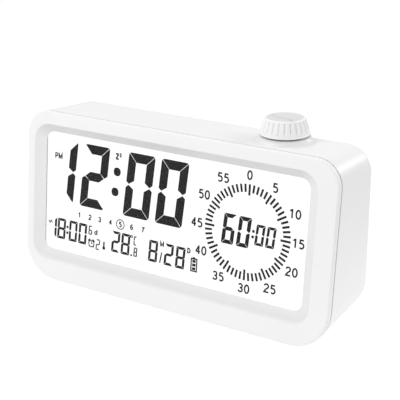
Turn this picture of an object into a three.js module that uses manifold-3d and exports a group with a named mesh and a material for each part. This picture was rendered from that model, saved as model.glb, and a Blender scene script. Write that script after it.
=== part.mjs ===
// Digital desk clock: a leaning front with a large display, a tapered rear housing, and a fluted
// knob on top that turns and pushes. Millimetres, +Z up, the display faces -Y, +X is to the right
// as seen from the front.
import * as THREE from 'three';
import { mergeVertices } from 'three/addons/utils/BufferGeometryUtils.js';
import Module from 'manifold-3d';

const wasm = await Module();
wasm.setup();
const { degToRad } = THREE.MathUtils;

// Case
const FACE_WIDTH = 160;
const FACE_HEIGHT = 79.4;
const TOP_CORNER = 11;
const BOTTOM_CORNER = 14;
const BODY_DEPTH = 34; // from the display's face at mid height to the rear wall
const LEAN = degToRad(6); // the front leans back by this angle
const DRAFT = degToRad(3); // every wall of the rear housing draws in towards the back
const WALL = 2;
const REAR_EDGE = 3.5;
const FACE_LEVEL = 4.6; // front of the frame, in front of the display's face
const FACE_EDGE = 0.9;
const SEAM_LEVEL = 2; // where the front frame meets the rear housing
const SEAM_GAP = 0.4;
const SEAM_CHAMFER = 0.3;
const FIT = 0.3; // gap between pieces that rest on each other
const SEAT = 0.1; // gap under a screw head or another piece that is pressed home
const SINK = 0.2; // how far a boss runs into the wall it stands on
const THROUGH = 1; // how far a cut runs past the wall
const ARC_STEPS = 7; // steps in a quarter round of the case
const SMALL_STEPS = 4; // the same on small pieces

// Display recess and window, with the frame's width on each side of the window
const FRAME_LEFT = 9.35;
const FRAME_RIGHT = 13.8;
const FRAME_TOP = 9.45;
const FRAME_BOTTOM = 14;
const WINDOW_WIDTH = FACE_WIDTH - FRAME_LEFT - FRAME_RIGHT;
const WINDOW_HEIGHT = FACE_HEIGHT - FRAME_TOP - FRAME_BOTTOM;
const WINDOW_X = (FRAME_LEFT - FRAME_RIGHT) / 2;
const WINDOW_Y = (FRAME_BOTTOM - FRAME_TOP) / 2;
const WINDOW_CORNER = 4.2;
const LIP = 0.6;
const PLATE_BACK = 1.2; // back of the frame's plate, over the display window
const SLOPE_SIDE = 5.1;
const SLOPE_TOP = 4;
const SLOPE_BOTTOM = 5.1;
const RIM_CORNER = 8;
const RIM_EDGE = 0.8;

// Display stack, from the front to the back
const PANE = 0.8;
const PANE_MARGIN = 2;
const GLASS = 2.4;
const GLASS_MARGIN = 1.2;
const GLASS_CORNER = 1;
const GUIDE = 2;
const GUIDE_SIDE = 1.65; // from the glass's side edge, where the lamp sits
const GUIDE_MARGIN = 5.1; // from the glass's upper and lower edges
const HOLDER_GAP = 0.2; // round the glass
const FRAME_WALL = 1;
const FRAME_FLOOR = 1;
const FRAME_FRONT = -0.3; // front edge of the holder's walls
const POST_HEIGHT = 2;
const POST_RADIUS = 2.5;
const POST_SIDE = 10.4; // from the window's side edge to a post
const POST_MARGIN = 8; // from the window's upper or lower edge to a post
const EAR_REACH = 35;
const EAR_RADIUS = 1.8;
const EAR = 1.2;
const BOARD = 1.6;
const BOARD_SIDE = 0.6; // how far the board's edges lie inside the glass's
const BOARD_BELOW = 1.1; // how far the board reaches below the glass
const BOARD_UNDER_TOP = 4.4;
const STRIP_SIDE = 4.6; // from the glass's side edge
const STRIP = 2.2;
const STRIP_MARGIN = 0.5; // from the glass's lower edge
const STRIP_SLOT = 0.4; // clearance round the contact strip in the holder's floor
const LED_THICK = 1.3;
const LED_TALL = 5;

// Small screws
const SCREW_RADIUS = 0.8;
const SCREW_PILOT = 0.95;
const SCREW_CLEARANCE = 1.15;
const PILOT_TIP = 0.5; // how far a blind hole runs into the wall behind its boss
const SCREW_HEAD_RADIUS = 1.75;
const SCREW_HEAD = 1.1;
const SCREW_TIP_GAP = 0.3; // left in a blind hole past the screw's tip
const SCREW_STEPS = 10;

// Frame tongue, hooks and lugs that hold the rear housing
const TONGUE = 1.4;
const TONGUE_CLEARANCE = 0.4;
const TONGUE_END = -2;
const HOOK_WIDTH = 8;
const HOOK_REACH = 0.7;
const HOOK_FRONT = 0.2;
const HOOK_BACK = -1;
const HOOK_SPACING = 50;
const LUG_WIDTH = 8;
const LUG_HEIGHT = 4.8;
const LUG_BACK = 8.5;
const LUG_ROOF = 0.8; // left over the blind hole
const CASE_SCREW_Y = 4;
const CASE_SCREW_RADIUS = 1;
const CASE_SCREW_PILOT = 1.15;
const CASE_SCREW_HOLE = 1.4;
const CASE_HEAD_RADIUS = 2.3;
const CASE_HEAD = 1.1;
const CASE_SCREW_LENGTH = 5.6;
const CASE_PAD_RADIUS = 4.3;

// Feet
const FOOT_RADIUS = 5;
const FOOT_FROM_SIDE = 20;
const FOOT_FROM_REAR = 10;
const FOOT_PAD_RADIUS = 6.4;
const FOOT_PAD_DROP = 0.1; // how far the pads stand below the lowest edge of the front
const FOOT_RECESS = 0.6;
const FOOT_HEIGHT = 1.5;
const FOOT_EDGE = 0.4;
const FOOT_INNER_PAD = 0.9;

// Knob and the encoder under it
const KNOB_FROM_RIGHT = 35.9;
const KNOB_BEHIND_MIDDLE = 1.02; // of the housing's top, between the seam and the rear wall
const COLLAR_RADIUS = 11.8;
const COLLAR_HEIGHT = 2;
const COLLAR_FILLET = 1.6;
const COLLAR_WALL = 2.4;
const COLLAR_EDGE = 0.3;
const COLLAR_STEPS = 36;
const KNOB_GAP = 0.7;
const KNOB_TRAVEL = 0.5;
const KNOB_RADIUS = 10.8;
const KNOB_TOP_RADIUS = 8.1;
const KNOB_HEIGHT = 7.4;
const KNOB_RIM = 1.4;
const KNOB_DISH = 0.7;
const DISH_MARGIN = 0.6;
const KNOB_EDGE = 0.5;
const KNOB_HOLLOW_RADIUS = 8.2;
const KNOB_HOLLOW = 3.9;
const KNOB_SOCKET_RADIUS = 4.4;
const KNOB_SOCKET_START = 3.3;
const KNOB_SOCKET = 5.5;
const FLUTES = 24;
const FLUTE_DEPTH = 0.5;
const FLUTE_SHARE = 0.28; // part of each pitch that the groove takes
const KNOB_FOOT_CHAMFER = 0.15;
const KNOB_SHOULDER = 0.4; // how far the rim stands out past the fluted side
const SHAFT_RADIUS = 3;
const SHAFT_RUNNING = 0.1;
const SHAFT_SOCKET_GAP = 0.05;
const SHAFT_END_GAP = 0.3;
const BUSHING_RADIUS = 3.5;
const BUSHING_REACH = 3.1; // above the collar
const BUSHING_FLANGE = 0.9;
const BUSHING_HOLE_GAP = 0.15;
const WASHER = 0.5;
const WASHER_RADIUS = 6;
const NUT = 2;
const NUT_FLATS = 10;
const ENCODER_WIDTH = 12.2;
const ENCODER_LENGTH = 13;
const ENCODER_HEIGHT = 5.2;
const ENCODER_WELL_RADIUS = 4.6;
const ENCODER_FLOOR = 0.6;
const ENCODER_POCKET_GAP = 0.6; // at the corners of the encoder
const PLUNGER_RADIUS = 4.1;
const PLUNGER = 0.7;
const PLUNGER_GAP = 0.2;
const ENCODER_BOARD_WIDTH = 16;
const ENCODER_BOARD_LENGTH = 16;
const ENCODER_BOARD_SHIFT = 1;
const ENCODER_BOARD = 1.2;

// Controls on the rear wall, in a row that is spaced with the width of the case. The x of a control
// is measured as seen from behind.
const ROW_HEIGHT = 14; // above the middle of the front
const ROW_STEP = FACE_WIDTH / 20;
const BUTTON_NAMES = ['alarm', 'set', 'up', 'down'];
const BUTTON_PITCH = 2 * ROW_STEP;
const BUTTON_START = -0.75 * BUTTON_PITCH;
const BUTTON_WIDTH = 12;
const BUTTON_TALL = 6;
const BUTTON_PROUD = 1.2;
const BUTTON_EDGE = 0.4;
const BUTTON_FLANGE = 0.8;
const BUTTON_FLANGE_RIM = 1;
const BUTTON_STEM_RADIUS = 1.6;
const BUTTON_TRAVEL = 0.5;
const CONTROL_GAP = 0.3; // gap between a control and its hole in the wall
const PILL_FLAT = 0.06; // half of the straight length left at each end of a pill
const CONTROL_BOARD_DEPTH = 6.4; // from the inner face of the rear wall to the board
const CONTROL_BOARD_MARGIN = 8; // past the socket and past the last button
const CONTROL_BOARD_TALL = 20;
const CONTROL_POST_SIDE = 3; // from the board's side edge
const CONTROL_POST_ABOVE = 7.5; // from the row
const CONTROL_POST_BELOW = 7;
const CONTROL_POST_RADIUS = 2.6;
const SWITCH_SIZE = 6;
const SWITCH_HEIGHT = 2.9;
const ACTUATOR_RADIUS = 1.7;
const ACTUATOR = 1.3;
const ACTUATOR_WELL_GAP = 0.2;
const ACTUATOR_WELL = 1.2;
const SLIDER_BEFORE_BUTTON = 18;
const SLIDER_WIDTH = 4.6;
const SLIDER_TALL = 3;
const SLIDER_PROUD = 0.8;
const SLIDER_TRAVEL = 2; // each way from the middle
const SLIDER_FLANGE = 0.6;
const SLIDER_FLANGE_WIDTH = 14;
const SLIDER_FLANGE_TALL = 5;
const SLIDER_STEM = 2;
const SLIDER_BODY_WIDTH = 9;
const SLIDER_BODY_TALL = 4.6;
const SLIDER_BODY_HEIGHT = 3.5;
const SLIDER_CHANNEL = 1;
const SOCKET_BEFORE_SLIDER = 16;
const SOCKET_WIDTH = 9;
const SOCKET_TALL = 3.3;
const SOCKET_SHELL = 0.3;
const SOCKET_SINK = 0.6; // mouth behind the outer face of the wall
const SOCKET_BACK = 1;
const SOCKET_TONGUE_WIDTH = 6.6;
const SOCKET_TONGUE = 0.7;
const SOCKET_TONGUE_SINK = 0.9;

// Speaker and vents
const SPEAKER_PAST_BUTTON = 22;
const SPEAKER_RADIUS = 10;
const SPEAKER_RIM = 2.6;
const SPEAKER_MAGNET_RADIUS = 5.6;
const SPEAKER_DEPTH = 5;
const SPEAKER_RING = 1.2;
const SPEAKER_RING_DEPTH = 4;
const GRILLE_HOLE = 0.9;
const GRILLE_RINGS = [[1, 0], [6, 3.6], [12, 7.2]];
const VENT_COUNT = 3;
const VENT_HEIGHT = -6;
const VENT_PITCH = 3.4;
const VENT_WIDTH = 16;
const VENT_TALL = 1.4;

// Battery
const BATTERY_RADIUS = 9.2;
const BATTERY_LENGTH = 65;
const BATTERY_CLEAR = 1.6; // from the rear wall
const BATTERY_LIFT = 1; // above the floor of the housing
const BATTERY_EDGE = 0.8;
const BATTERY_CAP_RADIUS = 3.2;
const BATTERY_CAP = 0.9;
const CRADLE_X = 22;
const CRADLE = 2;
const CRADLE_BELOW_AXIS = 2;
const LEAD_WIDTH = 2.4;
const LEAD_THICK = 1.2;
const LEAD_GAP = 0.4; // from the board
const LEAD_RIGHT = 24.6; // from the board's left edge
const LEAD_UP = 16; // from the board's lower edge

// Parts on the main board, as x and y on the leaning face
const CHIP_RIGHT = 12; // from the window's middle
const CHIP_RADIUS = 7;
const CHIP_HEIGHT = 1.8;
const CRYSTAL_RIGHT = 16; // from the chip
const CRYSTAL_DOWN = 8;
const CRYSTAL_RADIUS = 1;
const CRYSTAL_LENGTH = 6;
const SENSOR_LEFT = 21; // from the board's right edge
const SENSOR_UP = 6; // from the board's lower edge
const SENSOR_RADIUS = 1.3;
const SENSOR_LENGTH = 3;
const RIBBON_WIDTH = 12;
const RIBBON = 0.5;
const RIBBON_X = 20;

// Finishes
const MATT_WHITE = { color: 0xf2f2f2, roughness: 0.55, metalness: 0 };
const finishes = {
  housing: MATT_WHITE,
  knob: { color: 0xf0f0f0, roughness: 0.45, metalness: 0 },
  pane: { color: 0xf6f8f8, roughness: 0.05, metalness: 0, transparent: true, opacity: 0.35 },
  glass: { color: 0xeef0ee, roughness: 0.15, metalness: 0 },
  guide: { color: 0xfafafa, roughness: 0.3, metalness: 0 },
  holder: { color: 0xe6e6e4, roughness: 0.5, metalness: 0 },
  led: { color: 0xfff4d8, roughness: 0.3, metalness: 0 },
  elastomer: { color: 0xc9c2b4, roughness: 0.8, metalness: 0 },
  circuit: { color: 0x1f5a3a, roughness: 0.5, metalness: 0 },
  resin: { color: 0x111111, roughness: 0.35, metalness: 0 },
  steel: { color: 0xb8babd, roughness: 0.35, metalness: 1 },
  rubber: { color: 0x3a3a3a, roughness: 0.9, metalness: 0 },
  sleeve: { color: 0x3566a8, roughness: 0.4, metalness: 0 },
  lead: { color: 0xb03028, roughness: 0.6, metalness: 0 },
  film: { color: 0xd8903a, roughness: 0.5, metalness: 0 },
  black: { color: 0x1c1c1e, roughness: 0.6, metalness: 0 },
};

// Closed mesh with merged vertices and outward faces, ready for joining and cutting.
function closedGeometry(source) {
  const bare = source.clone();
  bare.deleteAttribute('normal');
  if (bare.attributes.uv) bare.deleteAttribute('uv');
  const merged = mergeVertices(bare, 1e-4);
  const { index } = merged;
  const faces = [];
  for (let i = 0; i < index.count; i += 3) {
    const [a, b, c] = [index.getX(i), index.getX(i + 1), index.getX(i + 2)];
    if (a !== b && b !== c && a !== c) faces.push(a, b, c);
  }
  merged.setIndex(faces);
  return signedVolume(merged) < 0 ? turnedOver(merged) : merged;
}

function signedVolume(geometry) {
  const { index, attributes } = geometry;
  const [a, b, c] = [new THREE.Vector3(), new THREE.Vector3(), new THREE.Vector3()];
  let sum = 0;
  for (let i = 0; i < index.count; i += 3) {
    a.fromBufferAttribute(attributes.position, index.getX(i));
    b.fromBufferAttribute(attributes.position, index.getX(i + 1));
    c.fromBufferAttribute(attributes.position, index.getX(i + 2));
    sum += a.dot(b.cross(c));
  }
  return sum;
}

function turnedOver(geometry) {
  const faces = Array.from(geometry.index.array);
  for (let i = 0; i < faces.length; i += 3) [faces[i], faces[i + 1]] = [faces[i + 1], faces[i]];
  geometry.setIndex(faces);
  return geometry;
}

function solid(source) {
  const geometry = closedGeometry(source);
  return new wasm.Manifold(new wasm.Mesh({
    numProp: 3,
    vertProperties: new Float32Array(geometry.attributes.position.array),
    triVerts: new Uint32Array(geometry.index.array),
  }));
}

function geometryOf(manifold) {
  const mesh = manifold.getMesh();
  const geometry = new THREE.BufferGeometry();
  geometry.setAttribute('position', new THREE.BufferAttribute(mesh.vertProperties, 3));
  geometry.setIndex(new THREE.BufferAttribute(mesh.triVerts, 1));
  return geometry;
}

const joined = (solids) => solids.reduce((whole, piece) => whole.add(piece));
const cut = (body, tools) => tools.reduce((rest, tool) => rest.subtract(tool), body);

// Named mesh of a geometry or of a joined and cut solid.
function piece(name, shape, finish) {
  const geometry = shape.isBufferGeometry ? closedGeometry(shape) : geometryOf(shape);
  const mesh = new THREE.Mesh(geometry, new THREE.MeshStandardMaterial(finishes[finish]));
  mesh.name = name;
  return mesh;
}

// Basic shapes, all with their length along z from z0 to z1
function plate(shape, z0, z1, curveSegments = SMALL_STEPS) {
  const options = { depth: z1 - z0, bevelEnabled: false, curveSegments };
  return new THREE.ExtrudeGeometry(shape, options).translate(0, 0, z0);
}

function rectangle(width, height, x = 0, y = 0) {
  return new THREE.Shape([
    new THREE.Vector2(x - width / 2, y - height / 2),
    new THREE.Vector2(x + width / 2, y - height / 2),
    new THREE.Vector2(x + width / 2, y + height / 2),
    new THREE.Vector2(x - width / 2, y + height / 2),
  ]);
}

function block(width, height, z0, z1, x = 0, y = 0) {
  return plate(rectangle(width, height, x, y), z0, z1);
}

function turned(profile, steps = 24) {
  const points = profile.map(([radius, z]) => new THREE.Vector2(radius, z));
  return new THREE.LatheGeometry(points, steps).rotateX(Math.PI / 2);
}

function rod(radius, z0, z1, x = 0, y = 0, steps = 20) {
  return turned([[0, z0], [radius, z0], [radius, z1], [0, z1]], steps).translate(x, y, 0);
}

function roundedEdges(width, height, corner, x = 0, y = 0, steps = SMALL_STEPS) {
  return {
    left: x - width / 2,
    right: x + width / 2,
    bottom: y - height / 2,
    top: y + height / 2,
    topCorner: corner,
    bottomCorner: corner,
    steps,
  };
}

function inset(edges, distance) {
  return {
    left: edges.left + distance,
    right: edges.right - distance,
    bottom: edges.bottom + distance,
    top: edges.top - distance,
    topCorner: edges.topCorner - distance,
    bottomCorner: edges.bottomCorner - distance,
    steps: edges.steps,
  };
}

// Points of a rounded rectangle, counter-clockwise from its lower right corner.
function outline({ left, right, bottom, top, topCorner, bottomCorner, steps }) {
  const corners = [
    [right - bottomCorner, bottom + bottomCorner, bottomCorner, -90],
    [right - topCorner, top - topCorner, topCorner, 0],
    [left + topCorner, top - topCorner, topCorner, 90],
    [left + bottomCorner, bottom + bottomCorner, bottomCorner, 180],
  ];
  return corners.flatMap(([x, y, radius, start]) => Array.from({ length: steps + 1 }, (_, i) => {
    const angle = degToRad(start + 90 * i / steps);
    return new THREE.Vector2(x + radius * Math.cos(angle), y + radius * Math.sin(angle));
  }));
}

const roundedPlate = (edges, z0, z1) => plate(new THREE.Shape(outline(edges)), z0, z1);
const ringAt = (edges, z) => outline(edges).map(({ x, y }) => new THREE.Vector3(x, y, z));

// Closed skin over rings that have the same number of points, with a flat cap on each end ring.
function loft(rings) {
  const count = rings[0].length;
  const positions = rings.flat().flatMap(({ x, y, z }) => [x, y, z]);
  const faces = [];
  for (let ring = 0; ring + 1 < rings.length; ring += 1) {
    for (let i = 0; i < count; i += 1) {
      const next = (i + 1) % count;
      const [a, b] = [ring * count + i, ring * count + next];
      faces.push(a, b, b + count, a, b + count, a + count);
    }
  }
  const last = (rings.length - 1) * count;
  for (let i = 1; i + 1 < count; i += 1) {
    faces.push(0, i + 1, i);
    faces.push(last, last + i, last + i + 1);
  }
  const geometry = new THREE.BufferGeometry();
  geometry.setAttribute('position', new THREE.Float32BufferAttribute(positions, 3));
  geometry.setAttribute('normal', new THREE.Float32BufferAttribute(positions.map(() => 0), 3));
  geometry.setIndex(faces);
  return geometry;
}

// Rings of a rounded edge: the outline draws in by the radius while the level moves to the end.
function edgeRings(radius, steps, ring) {
  return Array.from({ length: steps }, (_, i) => {
    const angle = (i + 1) / steps * Math.PI / 2;
    return ring(radius * (1 - Math.cos(angle)), radius * Math.sin(angle));
  });
}

function screw(radius, length, headRadius, headHeight) {
  return turned([
    [0, -headHeight],
    [headRadius, -headHeight],
    [headRadius, 0],
    [radius, 0],
    [radius, length - radius],
    [0, length],
  ], SCREW_STEPS);
}

// The leaning front. Inside this frame x runs to the right, y up the face and z out of it, and the
// middle of the face is at x = y = 0, with z = 0 on the front of the display glass.
const leanTurn = new THREE.Matrix4().makeRotationX(Math.PI / 2 - LEAN);
const uprightFromLean = (x, y, z) => new THREE.Vector3(x, y, z).applyMatrix4(leanTurn);
const leanFromUpright = leanTurn.clone().invert();

const SIDE_TAPER = Math.tan(DRAFT);
const BASE_RISE = Math.tan(LEAN + DRAFT);
const TOP_RISE = Math.tan(LEAN - DRAFT);

// Outline of the case at a level of the leaning face. Behind the seam the walls have their draft.
function caseEdges(level, distance = 0) {
  const back = Math.max(0, SEAM_LEVEL - level);
  return inset({
    left: -FACE_WIDTH / 2 + back * SIDE_TAPER,
    right: FACE_WIDTH / 2 - back * SIDE_TAPER,
    bottom: -FACE_HEIGHT / 2 + back * BASE_RISE,
    top: FACE_HEIGHT / 2 + back * TOP_RISE,
    topCorner: TOP_CORNER,
    bottomCorner: BOTTOM_CORNER,
    steps: ARC_STEPS,
  }, distance);
}

// The same outline as a ring in upright space: along the leaning face, or where an upright plane
// at depth y crosses the walls.
function leaningRing(level, distance = 0) {
  return outline(caseEdges(level, distance)).map(({ x, y }) => uprightFromLean(x, y, level));
}

function uprightRing(y, distance = 0) {
  const near = leaningRing(SEAM_LEVEL, distance);
  const far = leaningRing(SEAM_LEVEL - 2 * BODY_DEPTH, distance);
  return near.map((point, i) => {
    const share = (y - point.y) / (far[i].y - point.y);
    return point.clone().lerp(far[i], share);
  });
}

// Heights of the case walls in upright space at depth y
const seamTop = uprightFromLean(0, FACE_HEIGHT / 2, SEAM_LEVEL);
const seamBottom = uprightFromLean(0, -FACE_HEIGHT / 2, SEAM_LEVEL);
const topAt = (y) => seamTop.z - (y - seamTop.y) * Math.tan(DRAFT);
const baseAt = (y) => seamBottom.z + (y - seamBottom.y) * Math.tan(DRAFT);

// Places that follow from the case
const WINDOW_EDGES = roundedEdges(
  WINDOW_WIDTH, WINDOW_HEIGHT, WINDOW_CORNER, WINDOW_X, WINDOW_Y, ARC_STEPS);
const KNOB_X = FACE_WIDTH / 2 - KNOB_FROM_RIGHT;
const KNOB_Y = (seamTop.y + BODY_DEPTH) / 2 + KNOB_BEHIND_MIDDLE;
const FOOT_X = FACE_WIDTH / 2 - FOOT_FROM_SIDE;
const FOOT_REAR_Y = BODY_DEPTH - FOOT_FROM_REAR;
const BATTERY_Y = BODY_DEPTH - WALL - BATTERY_CLEAR - BATTERY_RADIUS;

// Levels that several pieces share
const paneBack = PLATE_BACK - (PLATE_BACK - PANE) / 2 - PANE;
const lipLevel = PLATE_BACK + LIP;
const glassEdges = {
  ...inset(WINDOW_EDGES, -GLASS_MARGIN),
  topCorner: GLASS_CORNER,
  bottomCorner: GLASS_CORNER,
  steps: SMALL_STEPS,
};
const guideWidth = glassEdges.right - glassEdges.left - 2 * GUIDE_SIDE;
const guideHeight = glassEdges.top - glassEdges.bottom - 2 * GUIDE_MARGIN;
const stripWidth = glassEdges.right - glassEdges.left - 2 * STRIP_SIDE;
const boardEdges = {
  left: glassEdges.left + BOARD_SIDE,
  right: glassEdges.right - BOARD_SIDE,
  bottom: glassEdges.bottom - BOARD_BELOW,
  top: glassEdges.top - BOARD_UNDER_TOP,
};
const guideFront = -GLASS - FIT;
const ledDepth = GUIDE - FIT;
const guideBack = guideFront - GUIDE;
const floorFront = guideBack - FIT;
const floorBack = floorFront - FRAME_FLOOR;
const postEnd = floorBack - POST_HEIGHT;
const boardFront = postEnd - FIT;
const boardBack = boardFront - BOARD;
const postPilotEnd = floorBack + PILOT_TIP;
const bossEnd = TONGUE_END - SEAT;
const bossPilotEnd = PLATE_BACK + PILOT_TIP;
const earFront = bossEnd - FIT;
const earBack = earFront - EAR;
const holderInner = inset(glassEdges, -HOLDER_GAP);
const holderOuter = inset(holderInner, -FRAME_WALL);
const earTop = holderOuter.top + FIT + EAR_RADIUS;
const earBottom = holderOuter.bottom - FIT - EAR_RADIUS;
const stripY = glassEdges.bottom + STRIP / 2 + STRIP_MARGIN;

const earPlaces = [
  [-EAR_REACH, earTop],
  [EAR_REACH, earTop],
  [-EAR_REACH, earBottom],
  [EAR_REACH, earBottom],
];
const postPlaces = [
  [WINDOW_EDGES.left + POST_SIDE, WINDOW_EDGES.top - POST_MARGIN],
  [WINDOW_EDGES.right - POST_SIDE, WINDOW_EDGES.top - POST_MARGIN],
  [WINDOW_EDGES.left + POST_SIDE, WINDOW_EDGES.bottom + POST_MARGIN],
  [WINDOW_EDGES.right - POST_SIDE, WINDOW_EDGES.bottom + POST_MARGIN],
];
const chipPlace = [WINDOW_X + CHIP_RIGHT, WINDOW_Y];
const crystalPlace = [chipPlace[0] + CRYSTAL_RIGHT, chipPlace[1] - CRYSTAL_DOWN];
const sensorPlace = [boardEdges.right - SENSOR_LEFT, boardEdges.bottom + SENSOR_UP];
const leadPlace = [boardEdges.left + LEAD_RIGHT, boardEdges.bottom + LEAD_UP];

const padBottom = seamBottom.z - FOOT_PAD_DROP;
const footCeiling = padBottom + FOOT_RECESS;
const headCeiling = footCeiling + CASE_HEAD + 2 * SEAT;
const padInner = baseAt(CASE_SCREW_Y) + WALL + FOOT_INNER_PAD;
const lugBottom = padInner + FIT;

// Front frame
function recess() {
  const rim = {
    left: WINDOW_EDGES.left - SLOPE_SIDE,
    right: WINDOW_EDGES.right + SLOPE_SIDE,
    bottom: WINDOW_EDGES.bottom - SLOPE_BOTTOM,
    top: WINDOW_EDGES.top + SLOPE_TOP,
    topCorner: RIM_CORNER,
    bottomCorner: RIM_CORNER,
    steps: ARC_STEPS,
  };
  return solid(loft([
    ringAt(WINDOW_EDGES, PLATE_BACK - THROUGH),
    ringAt(WINDOW_EDGES, lipLevel),
    ringAt(inset(rim, RIM_EDGE), FACE_LEVEL - RIM_EDGE),
    ringAt(inset(rim, RIM_EDGE * 0.35), FACE_LEVEL - RIM_EDGE * 0.25),
    ringAt(rim, FACE_LEVEL),
    ringAt(rim, FACE_LEVEL + THROUGH),
  ]));
}

function tongueRing() {
  const outer = WALL + TONGUE_CLEARANCE;
  const inner = outer + TONGUE;
  const edges = (level, distance) => {
    const here = caseEdges(level, distance);
    const far = caseEdges(TONGUE_END, distance);
    return { ...here, bottom: far.bottom, left: far.left, right: far.right };
  };
  const skin = (distance, z0, z1) => solid(loft([
    ringAt(edges(z0, distance), z0),
    ringAt(edges(z1, distance), z1),
  ]));
  return skin(outer, TONGUE_END, PLATE_BACK + SINK)
    .subtract(skin(inner, TONGUE_END - THROUGH, PLATE_BACK + SINK + THROUGH));
}

function lug(side) {
  const front = seamBottom.y;
  const box = new THREE.BoxGeometry(LUG_WIDTH, LUG_BACK - front, LUG_HEIGHT);
  box.translate(side * FOOT_X, (LUG_BACK + front) / 2, lugBottom + LUG_HEIGHT / 2);
  return solid(box.applyMatrix4(leanFromUpright));
}

function lugHole(side) {
  const hole = rod(CASE_SCREW_PILOT, lugBottom - THROUGH, lugBottom + LUG_HEIGHT - LUG_ROOF,
    side * FOOT_X, CASE_SCREW_Y, SCREW_STEPS);
  return solid(hole.applyMatrix4(leanFromUpright));
}

function hook(x, extra = 0) {
  const root = FACE_HEIGHT / 2 - WALL - TONGUE_CLEARANCE - TONGUE / 2;
  const reach = TONGUE / 2 + TONGUE_CLEARANCE + HOOK_REACH + extra;
  return solid(block(HOOK_WIDTH + 2 * extra, reach, HOOK_BACK - extra, HOOK_FRONT + extra,
    x, root + reach / 2));
}

const hookPlaces = [-HOOK_SPACING, 0, HOOK_SPACING];

function frontBezel() {
  const front = SEAM_LEVEL + SEAM_GAP / 2;
  const outer = solid(loft([
    ringAt(caseEdges(FACE_LEVEL, SEAM_CHAMFER), front),
    ringAt(caseEdges(FACE_LEVEL), front + SEAM_CHAMFER),
    ringAt(caseEdges(FACE_LEVEL), FACE_LEVEL - FACE_EDGE),
    ...edgeRings(FACE_EDGE, 3, (distance, rise) => (
      ringAt(caseEdges(FACE_LEVEL, distance), FACE_LEVEL - FACE_EDGE + rise))),
  ]));
  const tongueInset = WALL + TONGUE_CLEARANCE + (SEAM_LEVEL - TONGUE_END) * BASE_RISE;
  const inner = solid(roundedPlate(caseEdges(FACE_LEVEL, tongueInset), PLATE_BACK, front + THROUGH));
  const bosses = earPlaces.map(([x, y]) => (
    solid(rod(EAR_RADIUS, bossEnd, PLATE_BACK + SINK, x, y, SCREW_STEPS))));
  const pilots = earPlaces.map(([x, y]) => (
    solid(rod(SCREW_PILOT, bossEnd - THROUGH, bossPilotEnd, x, y, SCREW_STEPS))));
  const hooks = hookPlaces.map((x) => hook(x));
  const lugs = [lug(-1), lug(1)];
  const body = joined([outer, inner, tongueRing(), ...bosses, ...hooks, ...lugs]);
  return cut(body, [recess(), ...pilots, lugHole(-1), lugHole(1)]);
}

// Display stack
function displayWindow() {
  const edges = { ...inset(WINDOW_EDGES, -PANE_MARGIN), steps: SMALL_STEPS };
  return roundedPlate(edges, paneBack, paneBack + PANE);
}

function lcdFrame() {
  const shell = solid(roundedPlate(holderOuter, floorBack, FRAME_FRONT));
  const well = solid(roundedPlate(holderInner, floorFront, FRAME_FRONT + THROUGH));
  const posts = postPlaces.map(([x, y]) => (
    solid(rod(POST_RADIUS, postEnd, floorBack + SINK, x, y, SCREW_STEPS))));
  const ears = earPlaces.map(([x, y]) => {
    const towardsFrame = Math.sign(WINDOW_Y - y);
    const bridge = solid(block(2 * EAR_RADIUS, EAR_RADIUS + FIT + FRAME_WALL / 2,
      earBack, earFront, x, y + towardsFrame * (EAR_RADIUS + FIT + FRAME_WALL / 2) / 2));
    return bridge.add(solid(rod(EAR_RADIUS, earBack, earFront, x, y, SCREW_STEPS)));
  });
  const earHoles = earPlaces.map(([x, y]) => (
    solid(rod(SCREW_CLEARANCE, earBack - THROUGH, earFront + THROUGH, x, y, SCREW_STEPS))));
  const pilots = postPlaces.map(([x, y]) => (
    solid(rod(SCREW_PILOT, postEnd - THROUGH, postPilotEnd, x, y, SCREW_STEPS))));
  const slot = solid(block(stripWidth + 2 * STRIP_SLOT, STRIP + 2 * STRIP_SLOT,
    floorBack - THROUGH, floorFront + THROUGH, WINDOW_X, stripY));
  return cut(joined([shell.subtract(well), ...posts, ...ears]), [...earHoles, ...pilots, slot]);
}

function mainBoard() {
  const { left, right, bottom, top } = boardEdges;
  const board = rectangle(right - left, top - bottom, (left + right) / 2, (top + bottom) / 2);
  for (const [x, y] of postPlaces) {
    board.holes.push(new THREE.Path().absarc(x, y, SCREW_CLEARANCE, 0, 2 * Math.PI, true));
  }
  return plate(board, boardBack, boardFront, 3);
}

function chipDome() {
  const rise = (share) => Math.sqrt(1 - share * share);
  const profile = [0.97, 0.75, 0.45].map((share) => [CHIP_RADIUS * share, -CHIP_HEIGHT * rise(share)]);
  return turned([[0, 0], [CHIP_RADIUS, 0], ...profile, [0, -CHIP_HEIGHT]], 16);
}

// Small screw with its head at the seat and its tip just short of the end of the blind hole
function smallScrew(name, x, y, seat, holeEnd) {
  const length = holeEnd - SCREW_TIP_GAP - seat;
  const mesh = piece(name, screw(SCREW_RADIUS, length, SCREW_HEAD_RADIUS, SCREW_HEAD), 'steel');
  mesh.position.set(x, y, seat);
  return mesh;
}

function onBoard(name, geometry, finish, [x, y]) {
  const mesh = piece(name, geometry, finish);
  mesh.position.set(x, y, boardBack - FIT);
  return mesh;
}

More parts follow.
